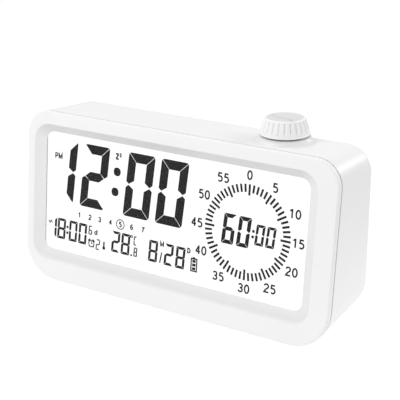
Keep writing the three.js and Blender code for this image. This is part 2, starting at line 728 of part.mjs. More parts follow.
function displayGroup() {
  const group = new THREE.Group();
  group.add(piece('front_bezel', frontBezel(), 'housing'));
  group.add(piece('display_window', displayWindow(), 'pane'));
  group.add(piece('lcd_glass', roundedPlate(glassEdges, -GLASS, 0), 'glass'));
  group.add(piece('light_guide',
    block(guideWidth, guideHeight, guideBack, guideFront, WINDOW_X, WINDOW_Y), 'guide'));
  group.add(piece('lcd_frame', lcdFrame(), 'holder'));
  group.add(piece('contact_strip',
    block(stripWidth, STRIP, boardFront + FIT, guideFront, WINDOW_X, stripY), 'elastomer'));
  group.add(piece('main_board', mainBoard(), 'circuit'));
  const ledX = (guideWidth / 2 + holderInner.right - WINDOW_X) / 2;
  for (const [name, side] of [['left', -1], ['right', 1]]) {
    const led = block(LED_THICK, LED_TALL, guideBack, guideBack + ledDepth,
      WINDOW_X + side * ledX, WINDOW_Y);
    group.add(piece(`backlight_led_${name}`, led, 'led'));
  }
  group.add(onBoard('controller_chip', chipDome(), 'resin', chipPlace));
  const crystal = rod(CRYSTAL_RADIUS, 0, CRYSTAL_LENGTH, 0, 0, 10);
  crystal.rotateX(Math.PI / 2).translate(0, 0, -CRYSTAL_RADIUS);
  group.add(onBoard('quartz_crystal', crystal, 'steel', crystalPlace));
  const bead = turned([[0, 0], [SENSOR_RADIUS * 0.6, 0], [SENSOR_RADIUS, -SENSOR_LENGTH * 0.4],
    [SENSOR_RADIUS * 0.8, -SENSOR_LENGTH * 0.85], [0, -SENSOR_LENGTH]], SCREW_STEPS);
  group.add(onBoard('temperature_sensor', bead, 'resin', sensorPlace));
  earPlaces.forEach(([x, y], i) => {
    group.add(smallScrew(`display_screw_${i + 1}`, x, y, earBack - SEAT, bossPilotEnd));
  });
  postPlaces.forEach(([x, y], i) => {
    group.add(smallScrew(`board_screw_${i + 1}`, x, y, boardBack - SEAT, postPilotEnd));
  });
  group.rotation.x = Math.PI / 2 - LEAN;
  return group;
}

// Rear housing, in upright space
const rearWallInner = BODY_DEPTH - WALL;
const collarTop = topAt(KNOB_Y) + COLLAR_HEIGHT;

// Frame on the rear wall's outer face: x to the right as seen from behind, y up, z outwards.
const rearTurn = new THREE.Matrix4().makeBasis(
  new THREE.Vector3(-1, 0, 0), new THREE.Vector3(0, 0, 1), new THREE.Vector3(0, 1, 0));
const rearPlace = new THREE.Matrix4().makeTranslation(0, BODY_DEPTH, 0).multiply(rearTurn);
const onRear = (geometry) => solid(geometry.applyMatrix4(rearPlace));

function caseSkin() {
  const seam = SEAM_LEVEL - SEAM_GAP / 2;
  return solid(loft([
    leaningRing(seam, SEAM_CHAMFER),
    leaningRing(seam - SEAM_CHAMFER),
    uprightRing(BODY_DEPTH - REAR_EDGE),
    ...edgeRings(REAR_EDGE, 4, (distance, rise) => (
      uprightRing(BODY_DEPTH - REAR_EDGE + rise, distance))),
  ]));
}

function caseHollow() {
  const innerEdge = Math.max(FIT, REAR_EDGE - WALL);
  return solid(loft([
    leaningRing(SEAM_LEVEL + THROUGH, WALL),
    leaningRing(SEAM_LEVEL, WALL),
    uprightRing(rearWallInner - innerEdge, WALL),
    uprightRing(rearWallInner, WALL + innerEdge),
  ]));
}

// The collar flares into the sloping top, and its own top is level.
function collar() {
  const ring = (radius, rise, sink = 0) => Array.from({ length: COLLAR_STEPS }, (_, i) => {
    const angle = 2 * Math.PI * i / COLLAR_STEPS;
    const y = KNOB_Y + radius * Math.sin(angle);
    const z = topAt(y) - sink;
    return new THREE.Vector3(KNOB_X + radius * Math.cos(angle), y, z + (collarTop - z) * rise);
  });
  const fillet = [0.35, 0.7, 1].map((share) => {
    const angle = share * Math.PI / 2;
    return ring(COLLAR_RADIUS + COLLAR_FILLET * (1 - Math.sin(angle)),
      COLLAR_FILLET * (1 - Math.cos(angle)) / COLLAR_HEIGHT);
  });
  return solid(loft([
    ring(COLLAR_RADIUS + COLLAR_FILLET, 0, WALL / 2),
    ring(COLLAR_RADIUS + COLLAR_FILLET, 0),
    ...fillet,
    ring(COLLAR_RADIUS, 1 - COLLAR_EDGE / COLLAR_HEIGHT),
    ring(COLLAR_RADIUS - COLLAR_EDGE, 1),
  ]));
}

const footPlaces = [
  ['front_left', -FOOT_X, CASE_SCREW_Y],
  ['front_right', FOOT_X, CASE_SCREW_Y],
  ['rear_left', -FOOT_X, FOOT_REAR_Y],
  ['rear_right', FOOT_X, FOOT_REAR_Y],
];

function footPad(x, y) {
  return solid(rod(FOOT_PAD_RADIUS, padBottom, baseAt(y) + WALL / 2, x, y));
}

function footRecess(x, y) {
  return solid(rod(FOOT_RADIUS + FIT, padBottom - THROUGH, footCeiling, x, y));
}

function caseScrewPad(side) {
  const y = CASE_SCREW_Y;
  return solid(rod(CASE_PAD_RADIUS, baseAt(y) + WALL / 2, padInner, side * FOOT_X, y));
}

function caseScrewHole(side) {
  const [x, y] = [side * FOOT_X, CASE_SCREW_Y];
  const shaft = rod(CASE_SCREW_HOLE, padBottom - THROUGH, padInner + THROUGH, x, y, SCREW_STEPS);
  const head = rod(CASE_HEAD_RADIUS + FIT, padBottom - THROUGH, headCeiling, x, y);
  return solid(shaft).add(solid(head));
}

function cradle(side) {
  const foot = baseAt(BATTERY_Y) + WALL / 2;
  const axis = batteryHeight();
  const top = axis - CRADLE_BELOW_AXIS;
  const length = 2 * BATTERY_RADIUS;
  const box = new THREE.BoxGeometry(CRADLE, length, top - foot);
  const wall = solid(box.translate(side * CRADLE_X, BATTERY_Y, (top + foot) / 2));
  const bore = rod(BATTERY_RADIUS + FIT, -CRADLE, CRADLE, 0, 0, 32).rotateY(Math.PI / 2);
  return wall.subtract(solid(bore.translate(side * CRADLE_X, BATTERY_Y, axis)));
}

function batteryHeight() {
  const lowest = baseAt(BATTERY_Y + BATTERY_RADIUS) + WALL;
  return lowest + BATTERY_RADIUS + BATTERY_LIFT;
}

const boardFace = -WALL - CONTROL_BOARD_DEPTH; // on the rear wall's frame, towards the wall
const controlPilotEnd = -WALL + PILOT_TIP;
const buttonPlaces = BUTTON_NAMES.map((name, i) => [name, BUTTON_START + i * BUTTON_PITCH]);
const lastButton = buttonPlaces[buttonPlaces.length - 1][1];
const sliderX = BUTTON_START - SLIDER_BEFORE_BUTTON;
const socketX = sliderX - SOCKET_BEFORE_SLIDER;
const speakerX = lastButton + SPEAKER_PAST_BUTTON;
const controlBoardLeft = socketX - CONTROL_BOARD_MARGIN;
const controlBoardRight = lastButton + CONTROL_BOARD_MARGIN;
const controlPosts = [
  [controlBoardLeft + CONTROL_POST_SIDE, ROW_HEIGHT + CONTROL_POST_ABOVE],
  [BUTTON_START + BUTTON_PITCH / 2, ROW_HEIGHT - CONTROL_POST_BELOW],
  [controlBoardRight - CONTROL_POST_SIDE, ROW_HEIGHT + CONTROL_POST_ABOVE],
];
const pillEdges = (width, height, x) => (
  roundedEdges(width, height, height / 2 - PILL_FLAT, x, ROW_HEIGHT));

function controlCuts() {
  const deep = -WALL - THROUGH;
  const pill = (width, height, x) => roundedPlate(pillEdges(width, height, x), deep, THROUGH);
  const buttons = buttonPlaces.map(([, x]) => (
    pill(BUTTON_WIDTH + 2 * CONTROL_GAP, BUTTON_TALL + 2 * CONTROL_GAP, x)));
  const slot = block(SLIDER_WIDTH + 2 * SLIDER_TRAVEL + 2 * CONTROL_GAP,
    SLIDER_TALL + 2 * CONTROL_GAP, deep, THROUGH, sliderX, ROW_HEIGHT);
  const socket = pill(SOCKET_WIDTH + 2 * CONTROL_GAP, SOCKET_TALL + 2 * CONTROL_GAP, socketX);
  return [...buttons, slot, socket].map(onRear);
}

function grilleCuts() {
  return GRILLE_RINGS.flatMap(([count, radius]) => Array.from({ length: count }, (_, i) => {
    const angle = 2 * Math.PI * i / count;
    return onRear(rod(GRILLE_HOLE, -WALL - THROUGH, THROUGH, speakerX + radius * Math.cos(angle),
      ROW_HEIGHT + radius * Math.sin(angle), 6));
  }));
}

function ventCuts() {
  return Array.from({ length: VENT_COUNT }, (_, i) => onRear(block(VENT_WIDTH, VENT_TALL,
    -WALL - THROUGH, THROUGH, socketX, VENT_HEIGHT - i * VENT_PITCH)));
}

function speakerRing() {
  const radius = SPEAKER_RADIUS + FIT;
  const end = -WALL - SPEAKER_RING_DEPTH;
  const ring = rod(radius + SPEAKER_RING, end, -WALL / 2, speakerX, ROW_HEIGHT);
  return onRear(ring).subtract(onRear(rod(radius, end - THROUGH, -WALL, speakerX, ROW_HEIGHT)));
}

function rearHousing() {
  const posts = controlPosts.map(([x, y]) => (
    onRear(rod(CONTROL_POST_RADIUS, boardFace + FIT, -WALL / 2, x, y, SCREW_STEPS))));
  const pilots = controlPosts.map(([x, y]) => (
    onRear(rod(SCREW_PILOT, boardFace - THROUGH, controlPilotEnd, x, y, SCREW_STEPS))));
  const pockets = hookPlaces.map((x) => (
    hook(x, FIT).transform(Array.from(leanTurn.elements))));
  const pocketRadius = Math.hypot(ENCODER_WIDTH, ENCODER_LENGTH) / 2 + ENCODER_POCKET_GAP;
  const pocketStart = topAt(KNOB_Y + pocketRadius) - WALL - THROUGH;
  const encoderPocket = rod(pocketRadius, pocketStart, collarTop - COLLAR_WALL, KNOB_X, KNOB_Y, 28);
  const bushingHole = rod(BUSHING_RADIUS + BUSHING_HOLE_GAP, pocketStart, collarTop + THROUGH,
    KNOB_X, KNOB_Y);
  const pads = footPlaces.map(([, x, y]) => footPad(x, y));
  const shell = cut(joined([caseSkin(), collar(), ...pads]), [
    caseHollow(),
    solid(encoderPocket),
    solid(bushingHole),
  ]);
  const fitted = joined([shell, speakerRing(), cradle(-1), cradle(1),
    caseScrewPad(-1), caseScrewPad(1), ...posts]);
  return cut(fitted, [
    ...footPlaces.map(([, x, y]) => footRecess(x, y)),
    caseScrewHole(-1),
    caseScrewHole(1),
    ...controlCuts(),
    ...grilleCuts(),
    ...ventCuts(),
    ...pilots,
    ...pockets,
  ]);
}

function caseGroup() {
  const group = new THREE.Group();
  group.add(piece('rear_housing', rearHousing(), 'housing'));
  for (const [name, x, y] of footPlaces) {
    const foot = turned([[0, -FOOT_HEIGHT], [FOOT_RADIUS - FOOT_EDGE, -FOOT_HEIGHT],
      [FOOT_RADIUS, FOOT_EDGE - FOOT_HEIGHT], [FOOT_RADIUS, 0], [0, 0]]);
    const mesh = piece(`foot_${name}`, foot, 'rubber');
    mesh.position.set(x, y, footCeiling - SEAT);
    group.add(mesh);
  }
  for (const [name, side] of [['left', -1], ['right', 1]]) {
    const shape = screw(CASE_SCREW_RADIUS, CASE_SCREW_LENGTH, CASE_HEAD_RADIUS, CASE_HEAD);
    const mesh = piece(`case_screw_${name}`, shape, 'steel');
    mesh.position.set(side * FOOT_X, CASE_SCREW_Y, headCeiling - SEAT);
    group.add(mesh);
  }
  return group;
}

// Controls on the rear wall, in its own frame
function buttonCap(x) {
  const edges = pillEdges(BUTTON_WIDTH, BUTTON_TALL, x);
  const flangeTop = -WALL - FIT;
  const cap = solid(loft([
    ringAt(edges, flangeTop - BUTTON_FLANGE / 2),
    ringAt(edges, BUTTON_PROUD - BUTTON_EDGE),
    ringAt(inset(edges, BUTTON_EDGE), BUTTON_PROUD),
  ]));
  const flange = solid(roundedPlate(inset(edges, -BUTTON_FLANGE_RIM),
    flangeTop - BUTTON_FLANGE, flangeTop));
  const stem = solid(rod(BUTTON_STEM_RADIUS, actuatorTop + SEAT, flangeTop - BUTTON_FLANGE / 2,
    x, ROW_HEIGHT, SCREW_STEPS));
  return joined([cap, flange, stem]);
}

const switchBack = boardFace + FIT;
const switchFront = switchBack + SWITCH_HEIGHT;
const actuatorTop = switchFront + BUTTON_TRAVEL + FIT;

function switchBody(x) {
  const body = solid(block(SWITCH_SIZE, SWITCH_SIZE, switchBack, switchFront, x, ROW_HEIGHT));
  const well = rod(ACTUATOR_RADIUS + ACTUATOR_WELL_GAP, switchFront - ACTUATOR_WELL, switchFront + THROUGH,
    x, ROW_HEIGHT, SCREW_STEPS);
  return body.subtract(solid(well));
}

function controlBoard() {
  const width = controlBoardRight - controlBoardLeft;
  const middle = (controlBoardRight + controlBoardLeft) / 2;
  const board = rectangle(width, CONTROL_BOARD_TALL, middle, ROW_HEIGHT);
  for (const [x, y] of controlPosts) {
    board.holes.push(new THREE.Path().absarc(x, y, SCREW_CLEARANCE, 0, 2 * Math.PI, true));
  }
  return plate(board, boardFace - BOARD, boardFace, 3);
}

function usbShell() {
  const edges = pillEdges(SOCKET_WIDTH, SOCKET_TALL, socketX);
  const shell = solid(roundedPlate(edges, switchBack, -SOCKET_SINK));
  const mouth = roundedPlate(inset(edges, SOCKET_SHELL), switchBack + SOCKET_BACK, THROUGH);
  return shell.subtract(solid(mouth));
}

const sliderSeat = switchBack + SLIDER_BODY_HEIGHT;

function soundSlider() {
  const flangeTop = -WALL - FIT;
  const cap = solid(block(SLIDER_WIDTH, SLIDER_TALL, flangeTop - SLIDER_FLANGE / 2, SLIDER_PROUD,
    sliderX, ROW_HEIGHT));
  const flange = solid(block(SLIDER_FLANGE_WIDTH, SLIDER_FLANGE_TALL, flangeTop - SLIDER_FLANGE,
    flangeTop, sliderX, ROW_HEIGHT));
  const stem = solid(block(SLIDER_STEM, SLIDER_STEM, sliderSeat - SLIDER_CHANNEL + FIT,
    flangeTop - SLIDER_FLANGE / 2, sliderX, ROW_HEIGHT));
  return joined([cap, flange, stem]);
}

function soundSwitchBody() {
  const body = solid(block(SLIDER_BODY_WIDTH, SLIDER_BODY_TALL, switchBack, sliderSeat,
    sliderX, ROW_HEIGHT));
  const channel = block(SLIDER_STEM + 2 * SLIDER_TRAVEL + 2 * FIT, SLIDER_STEM + 2 * FIT,
    sliderSeat - SLIDER_CHANNEL, sliderSeat + THROUGH, sliderX, ROW_HEIGHT);
  return body.subtract(solid(channel));
}

function speaker() {
  const front = -WALL - FIT;
  return turned([
    [0, front],
    [SPEAKER_RADIUS, front],
    [SPEAKER_RADIUS, front - SPEAKER_RIM],
    [SPEAKER_MAGNET_RADIUS + 1, front - SPEAKER_RIM - 0.6],
    [SPEAKER_MAGNET_RADIUS, front - SPEAKER_DEPTH],
    [0, front - SPEAKER_DEPTH],
  ]).translate(speakerX, ROW_HEIGHT, 0);
}

function rearGroup() {
  const group = new THREE.Group();
  buttonPlaces.forEach(([name, x]) => {
    group.add(piece(`${name}_button`, buttonCap(x), 'knob'));
    const actuator = rod(ACTUATOR_RADIUS, actuatorTop - ACTUATOR, actuatorTop, x, ROW_HEIGHT, SCREW_STEPS);
    group.add(piece(`${name}_switch_actuator`, actuator, 'black'));
    group.add(piece(`${name}_switch_body`, switchBody(x), 'steel'));
  });
  group.add(piece('button_board', controlBoard(), 'circuit'));
  controlPosts.forEach(([x, y], i) => {
    const seat = boardFace - BOARD - SEAT;
    group.add(smallScrew(`button_board_screw_${i + 1}`, x, y, seat, controlPilotEnd));
  });
  group.add(piece('usb_socket', usbShell(), 'steel'));
  group.add(piece('usb_tongue', block(SOCKET_TONGUE_WIDTH, SOCKET_TONGUE,
    switchBack + SOCKET_BACK + SEAT, -SOCKET_SINK - SOCKET_TONGUE_SINK, socketX, ROW_HEIGHT), 'black'));
  group.add(piece('sound_slider', soundSlider(), 'black'));
  group.add(piece('sound_switch_body', soundSwitchBody(), 'steel'));
  group.add(piece('speaker', speaker(), 'black'));
  group.rotation.setFromRotationMatrix(rearTurn);
  group.position.y = BODY_DEPTH;
  return group;
}

// Knob and encoder, in an upright frame on the knob's axis with z = 0 on the collar's top
const knobBottom = KNOB_GAP;
const encoderTop = -COLLAR_WALL - FIT;
const flangeBack = encoderTop - BUSHING_FLANGE;
const encoderBodyTop = flangeBack - SEAT;
const encoderBottom = encoderBodyTop - ENCODER_HEIGHT;
const plungerBottom = encoderBottom + ENCODER_FLOOR + KNOB_TRAVEL + FIT;
const shaftBottom = plungerBottom + PLUNGER + PLUNGER_GAP;
const shaftTop = knobBottom + KNOB_SOCKET - SHAFT_END_GAP;

// Side of the knob, with a narrow groove in every pitch
function knobSide() {
  const shares = [0, FLUTE_SHARE / 2, FLUTE_SHARE];
  const foot = KNOB_RADIUS - KNOB_SHOULDER;
  const head = KNOB_TOP_RADIUS + KNOB_EDGE;
  const grooveStart = KNOB_RIM + KNOB_SHOULDER;
  const grooveEnd = KNOB_HEIGHT - KNOB_EDGE;
  const middle = (grooveStart + grooveEnd) / 2;
  const side = (z) => foot + (head - foot) * (z - KNOB_RIM) / (grooveEnd - KNOB_RIM);
  const ring = (radius, z, depth) => Array.from({ length: FLUTES * shares.length }, (_, i) => {
    const angle = 2 * Math.PI * (Math.floor(i / shares.length) + shares[i % shares.length]) / FLUTES;
    const r = i % shares.length === 1 ? radius - depth : radius;
    return new THREE.Vector3(r * Math.cos(angle), r * Math.sin(angle), z);
  });
  return solid(loft([
    ring(KNOB_RADIUS - KNOB_FOOT_CHAMFER, 0, 0),
    ring(KNOB_RADIUS, KNOB_FOOT_CHAMFER, 0),
    ring(KNOB_RADIUS - KNOB_FOOT_CHAMFER, KNOB_RIM, 0),
    ring(side(grooveStart), grooveStart, FLUTE_DEPTH * 0.8),
    ring(side(middle), middle, FLUTE_DEPTH),
    ring(side(grooveEnd), grooveEnd, FLUTE_DEPTH * 0.7),
    ring(KNOB_TOP_RADIUS + KNOB_EDGE * 0.6, KNOB_HEIGHT - KNOB_EDGE * 0.3, 0),
    ring(KNOB_TOP_RADIUS, KNOB_HEIGHT, 0),
  ]));
}

function knobDish() {
  const radius = KNOB_TOP_RADIUS - DISH_MARGIN;
  const profile = [1, 0.7, 0.35].map((share) => (
    [radius * share, KNOB_HEIGHT - KNOB_DISH * (1 - share * share)]));
  return solid(turned([[0, KNOB_HEIGHT + THROUGH], [radius, KNOB_HEIGHT + THROUGH], ...profile,
    [0, KNOB_HEIGHT - KNOB_DISH]], 32));
}

function timerKnob() {
  const hollow = solid(rod(KNOB_HOLLOW_RADIUS, -THROUGH, KNOB_HOLLOW, 0, 0, 24));
  const socket = solid(rod(KNOB_SOCKET_RADIUS, KNOB_SOCKET_START, KNOB_HOLLOW + SINK));
  const bore = solid(rod(SHAFT_RADIUS + SHAFT_SOCKET_GAP, -THROUGH, KNOB_SOCKET));
  return cut(knobSide().subtract(hollow).add(socket), [knobDish(), bore]);
}

function bushing() {
  const flange = solid(block(ENCODER_WIDTH, ENCODER_LENGTH, flangeBack, encoderTop));
  const tube = solid(rod(BUSHING_RADIUS, flangeBack, BUSHING_REACH));
  return flange.add(tube).subtract(solid(rod(SHAFT_RADIUS + SHAFT_RUNNING, flangeBack - THROUGH,
    BUSHING_REACH + THROUGH)));
}

function ringPlate(shape, hole, z0, z1) {
  shape.holes.push(new THREE.Path().absarc(0, 0, hole, 0, 2 * Math.PI, true));
  return plate(shape, z0, z1, 6);
}

function hexagon(flats) {
  return new THREE.Shape(Array.from({ length: 6 }, (_, i) => {
    const angle = i * Math.PI / 3;
    const radius = flats / Math.sqrt(3);
    return new THREE.Vector2(radius * Math.cos(angle), radius * Math.sin(angle));
  }));
}

function knobGroup() {
  const group = new THREE.Group();
  const knob = piece('timer_knob', timerKnob(), 'knob');
  knob.position.z = knobBottom;
  group.add(knob);
  group.add(piece('encoder_shaft', rod(SHAFT_RADIUS, shaftBottom, shaftTop), 'steel'));
  group.add(piece('encoder_plunger',
    rod(PLUNGER_RADIUS, plungerBottom, plungerBottom + PLUNGER), 'black'));
  group.add(piece('encoder_bushing', bushing(), 'steel'));
  const body = solid(block(ENCODER_WIDTH, ENCODER_LENGTH, encoderBottom, encoderBodyTop));
  const well = solid(rod(ENCODER_WELL_RADIUS, encoderBottom + ENCODER_FLOOR, encoderBodyTop + THROUGH));
  group.add(piece('encoder_body', body.subtract(well), 'black'));
  const hole = BUSHING_RADIUS + BUSHING_HOLE_GAP;
  const washerBottom = SEAT;
  const washer = new THREE.Shape().absarc(0, 0, WASHER_RADIUS, 0, 2 * Math.PI);
  group.add(piece('encoder_washer', ringPlate(washer, hole, washerBottom, washerBottom + WASHER), 'steel'));
  const nutBottom = washerBottom + WASHER + SEAT;
  group.add(piece('encoder_nut', ringPlate(hexagon(NUT_FLATS), hole, nutBottom, nutBottom + NUT), 'steel'));
  group.add(piece('encoder_board', block(ENCODER_BOARD_WIDTH, ENCODER_BOARD_LENGTH,
    encoderBottom - FIT - ENCODER_BOARD, encoderBottom - FIT, 0, ENCODER_BOARD_SHIFT), 'circuit'));
  group.position.set(KNOB_X, KNOB_Y, collarTop);
  return group;
}

// Battery, its lead and the ribbon cable, in upright space
function batteryCell() {
  const half = BATTERY_LENGTH / 2;
  return turned([
    [0, -half],
    [BATTERY_RADIUS - BATTERY_EDGE, -half],
    [BATTERY_RADIUS, BATTERY_EDGE - half],
    [BATTERY_RADIUS, half - BATTERY_CAP - BATTERY_EDGE],
    [BATTERY_RADIUS - BATTERY_EDGE, half - BATTERY_CAP],
    [BATTERY_CAP_RADIUS, half - BATTERY_CAP],
    [BATTERY_CAP_RADIUS, half],
    [0, half],
  ]).rotateY(Math.PI / 2);
}

// Point just behind the main board, at a place on the leaning face
const behindBoard = (x, y, gap) => uprightFromLean(x, y, boardBack - gap);

function batteryLead() {
  const height = batteryHeight();
  const start = new THREE.Vector3(-BATTERY_LENGTH / 2 - FIT, BATTERY_Y, height);
  const end = behindBoard(...leadPlace, LEAD_THICK / 2 + LEAD_GAP);
  const route = new THREE.CatmullRomCurve3([
    start,
    start.clone().add(new THREE.Vector3(-4, 0, 0)),
    new THREE.Vector3((start.x + end.x) / 2 - 3, (start.y + end.y) / 2, (start.z + end.z) / 2),
    end.clone().add(new THREE.Vector3(0, 0, -5)),
    end,
  ]);
  const section = new THREE.Shape(Array.from({ length: 8 }, (_, i) => {
    const angle = 2 * Math.PI * i / 8;
    return new THREE.Vector2(LEAD_THICK / 2 * Math.cos(angle), LEAD_WIDTH / 2 * Math.sin(angle));
  }));
  return new THREE.ExtrudeGeometry(section, { steps: 16, extrudePath: route });
}

function ribbonCable() {
  const start = behindBoard(0, 15, FIT + RIBBON / 2);
  const boardSide = rearWallInner - CONTROL_BOARD_DEPTH - BOARD - FIT - RIBBON / 2;
  const route = new THREE.CatmullRomCurve3([
    start,
    behindBoard(0, 9, FIT + RIBBON / 2 + 0.2),
    new THREE.Vector3(0, (start.y + boardSide) / 2, 2),
    new THREE.Vector3(0, boardSide - 0.3, ROW_HEIGHT - 6),
    new THREE.Vector3(0, boardSide, ROW_HEIGHT),
  ]);
  const middle = route.getPoints(14);
  const side = (offset) => middle.map((point, i) => {
    const along = route.getTangent(i / 14);
    return new THREE.Vector2(point.y - along.z * offset, point.z + along.y * offset);
  });
  const section = new THREE.Shape([...side(RIBBON / 2), ...side(-RIBBON / 2).reverse()]);
  const upright = new THREE.Matrix4().makeBasis(
    new THREE.Vector3(0, 1, 0), new THREE.Vector3(0, 0, 1), new THREE.Vector3(1, 0, 0));
  return plate(section, RIBBON_X - RIBBON_WIDTH / 2, RIBBON_X + RIBBON_WIDTH / 2)
    .applyMatrix4(upright);
}

function powerGroup() {
  const group = new THREE.Group();
  const cell = piece('battery_cell', batteryCell(), 'sleeve');
  cell.position.set(0, BATTERY_Y, batteryHeight());
  group.add(cell);
  group.add(piece('battery_lead', batteryLead(), 'lead'));
  group.add(piece('ribbon_cable', ribbonCable(), 'film'));
  return group;
}

// The clock stands on its feet, with the origin under the middle of its outer box.
const clock = new THREE.Group();
clock.add(displayGroup(), caseGroup(), rearGroup(), knobGroup(), powerGroup());
clock.updateMatrixWorld(true);
const box = new THREE.Box3().setFromObject(clock, true);
const middle = box.getCenter(new THREE.Vector3());
clock.position.set(-middle.x, -middle.y, -box.min.z);

export default clock;
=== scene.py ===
import bmesh
import bpy
import numpy as np
from mathutils import Matrix, Vector


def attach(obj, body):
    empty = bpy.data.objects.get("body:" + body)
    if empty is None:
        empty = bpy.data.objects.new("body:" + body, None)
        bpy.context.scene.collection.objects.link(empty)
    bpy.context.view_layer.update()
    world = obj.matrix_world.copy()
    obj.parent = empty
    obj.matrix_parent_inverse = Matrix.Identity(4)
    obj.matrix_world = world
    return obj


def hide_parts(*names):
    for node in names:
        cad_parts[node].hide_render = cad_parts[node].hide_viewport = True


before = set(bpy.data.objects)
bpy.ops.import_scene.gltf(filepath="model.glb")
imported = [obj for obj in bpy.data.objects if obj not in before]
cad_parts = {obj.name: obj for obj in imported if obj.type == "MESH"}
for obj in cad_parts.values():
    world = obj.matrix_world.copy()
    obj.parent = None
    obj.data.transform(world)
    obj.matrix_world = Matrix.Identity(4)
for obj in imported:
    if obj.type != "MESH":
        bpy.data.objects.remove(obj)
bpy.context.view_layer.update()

# Viewpoint
# The clock is seen from its right and a little from above, with a long lens. The place and the
# three directions were fitted to the edges of the case and to the round dial.
camera_data = bpy.data.cameras.new("camera")
camera_data.sensor_width = 36
camera_data.lens = 98.154
camera_data.clip_start, camera_data.clip_end = 0.01, 20
camera = bpy.data.objects.new("camera", camera_data)
bpy.context.scene.collection.objects.link(camera)
sight_right = Vector((0.83463, 0.55078, -0.00516)).normalized()
sight_up = Vector((-0.17632, 0.27604, 0.94483)).normalized()
sight_back = Vector((0.52182, -0.78768, 0.32751)).normalized()
turn = Matrix((sight_right, sight_up, sight_back)).transposed().to_4x4()
eye = Vector((0.25590, -0.37796, 0.20449))
camera.matrix_world = Matrix.Translation(eye) @ turn
bpy.context.scene.camera = camera

# Floor and light
# A dark floor with a painted glow, a painted pool of light that is brightest by the clock and fades
# to pale grey on the clock's right, in a white surround, with a wide soft lamp in front on the left,
# one low on the right, one high on the left, and a small one behind on the right, whose gleam runs
# over the rounded upper corner.
bpy.context.scene.view_settings.view_transform = "Standard"
world = bpy.data.worlds.new("surround")
world.use_nodes = True
surround = world.node_tree.nodes["Background"]
surround.inputs["Color"].default_value = (1, 1, 1, 1)
surround.inputs["Strength"].default_value = 0.64
bpy.context.scene.world = world


def grid_faces(rows, columns, close_rows=False, close_columns=True):
    """Four-sided faces between neighbours on a grid of points, numbered row by row."""
    row = np.arange(rows if close_rows else rows - 1)[:, None]
    column = np.arange(columns if close_columns else columns - 1)[None, :]
    next_row, next_column = (row + 1) % rows, (column + 1) % columns
    corners = [row * columns + column, row * columns + next_column,
               next_row * columns + next_column, next_row * columns + column]
    return np.stack([np.broadcast_to(c, np.broadcast(row, column).shape) for c in corners],
                    -1).reshape(-1, 4)


def shader_of(material):
    """The node that holds the material's surface."""
    return material.node_tree.nodes["Principled BSDF"]


def own_place(material):
    """The coordinates of the piece that wears the material."""
    return material.node_tree.nodes.new("ShaderNodeTexCoord").outputs["Object"]


def place_share(material, operation, reference, start, end, low=0, high=1, smooth="SMOOTHSTEP"):
    """Amount that follows the place on the piece: while its distance from the reference, or its
    reach along it, runs from start to end, the amount runs from low to high."""
    nodes, links = material.node_tree.nodes, material.node_tree.links
    measure, share = nodes.new("ShaderNodeVectorMath"), nodes.new("ShaderNodeMapRange")
    measure.operation = operation
    measure.inputs[1].default_value = reference
    share.interpolation_type = smooth
    for socket, amount in (("From Min", start), ("From Max", end), ("To Min", low), ("To Max", high)):
        share.inputs[socket].default_value = amount
    links.new(own_place(material), measure.inputs[0])
    links.new(measure.outputs["Value"], share.inputs["Value"])
    return share.outputs["Result"]


FLOOR_LINES = 25
floor_across = np.linspace(-3, 3, FLOOR_LINES)
floor_x, floor_y = np.meshgrid(floor_across, floor_across)
floor_points = np.stack([floor_x, floor_y, np.zeros_like(floor_x)], -1).reshape(-1, 3)
floor_mesh = bpy.data.meshes.new("floor")
floor_mesh.from_pydata(floor_points.tolist(), [],
                       grid_faces(FLOOR_LINES, FLOOR_LINES, close_columns=False).tolist())
floor = bpy.data.objects.new("floor", floor_mesh)
bpy.context.scene.collection.objects.link(floor)
paper = bpy.data.materials.new("floor_painted_glow")
paper.use_nodes = True
paper_inputs = shader_of(paper).inputs
paper_inputs["Base Color"].default_value = (0.12, 0.12, 0.12, 1)
paper_inputs["Roughness"].default_value = 0.9
paper_inputs["Specular IOR Level"].default_value = 0
paper_inputs["Emission Color"].default_value = (1, 1, 1, 1)
grey_wards = (0.9158, 0.4015, 0)
# Painted light: the floor's glow is strongest by the clock and fades away along grey_wards.
paper_glow = place_share(paper, "DOT_PRODUCT", grey_wards, 0.1, 0.24, low=0.91, high=0.45)
paper.node_tree.links.new(paper_glow, paper_inputs["Emission Strength"])
floor_mesh.materials.append(paper)


def soft_lamp(name, place, aim, width, height, power):
    """Rectangular lamp at a place in metres, facing another place."""
    data = bpy.data.lights.new(name, "AREA")
    data.shape = "RECTANGLE"
    data.size, data.size_y = width, height
    data.energy = power
    lamp = bpy.data.objects.new(name, data)
    lamp.location = place
    lamp.rotation_euler = (Vector(aim) - Vector(place)).to_track_quat("-Z", "Y").to_euler()
    bpy.context.scene.collection.objects.link(lamp)


soft_lamp("front_lamp", (-0.35, -0.86, 0.8), (0, 0, 0.04), 0.7, 0.6, 4.6)
soft_lamp("right_lamp", (0.75, 0.3, 0.5), (0.03, 0, 0.04), 0.3, 0.3, 1.4)
soft_lamp("left_lamp", (-0.45, 0.3, 0.95), (0, 0, 0.04), 0.4, 0.4, 2.1)
soft_lamp("corner_lamp", (0.38, 0.76, 0.38), (0.08, 0, 0.07), 0.12, 0.12, 1.05)

# Front frame
# A matt white ABS moulding: a flat rim with a rounded outer edge, sloped walls down to the display
# window, and a skirt behind that the rear housing slips over. Two screws and three hooks hold it.
MM = 0.001
LEAN = np.radians(6)
FACE_SHIFT = np.array([0, -13.2847, 40.3735])
HALF_WIDTH, HALF_HEIGHT = 80, 39.7
LOW_CORNER, HIGH_CORNER = 17, 11.5
SEAM_LEVEL = 2


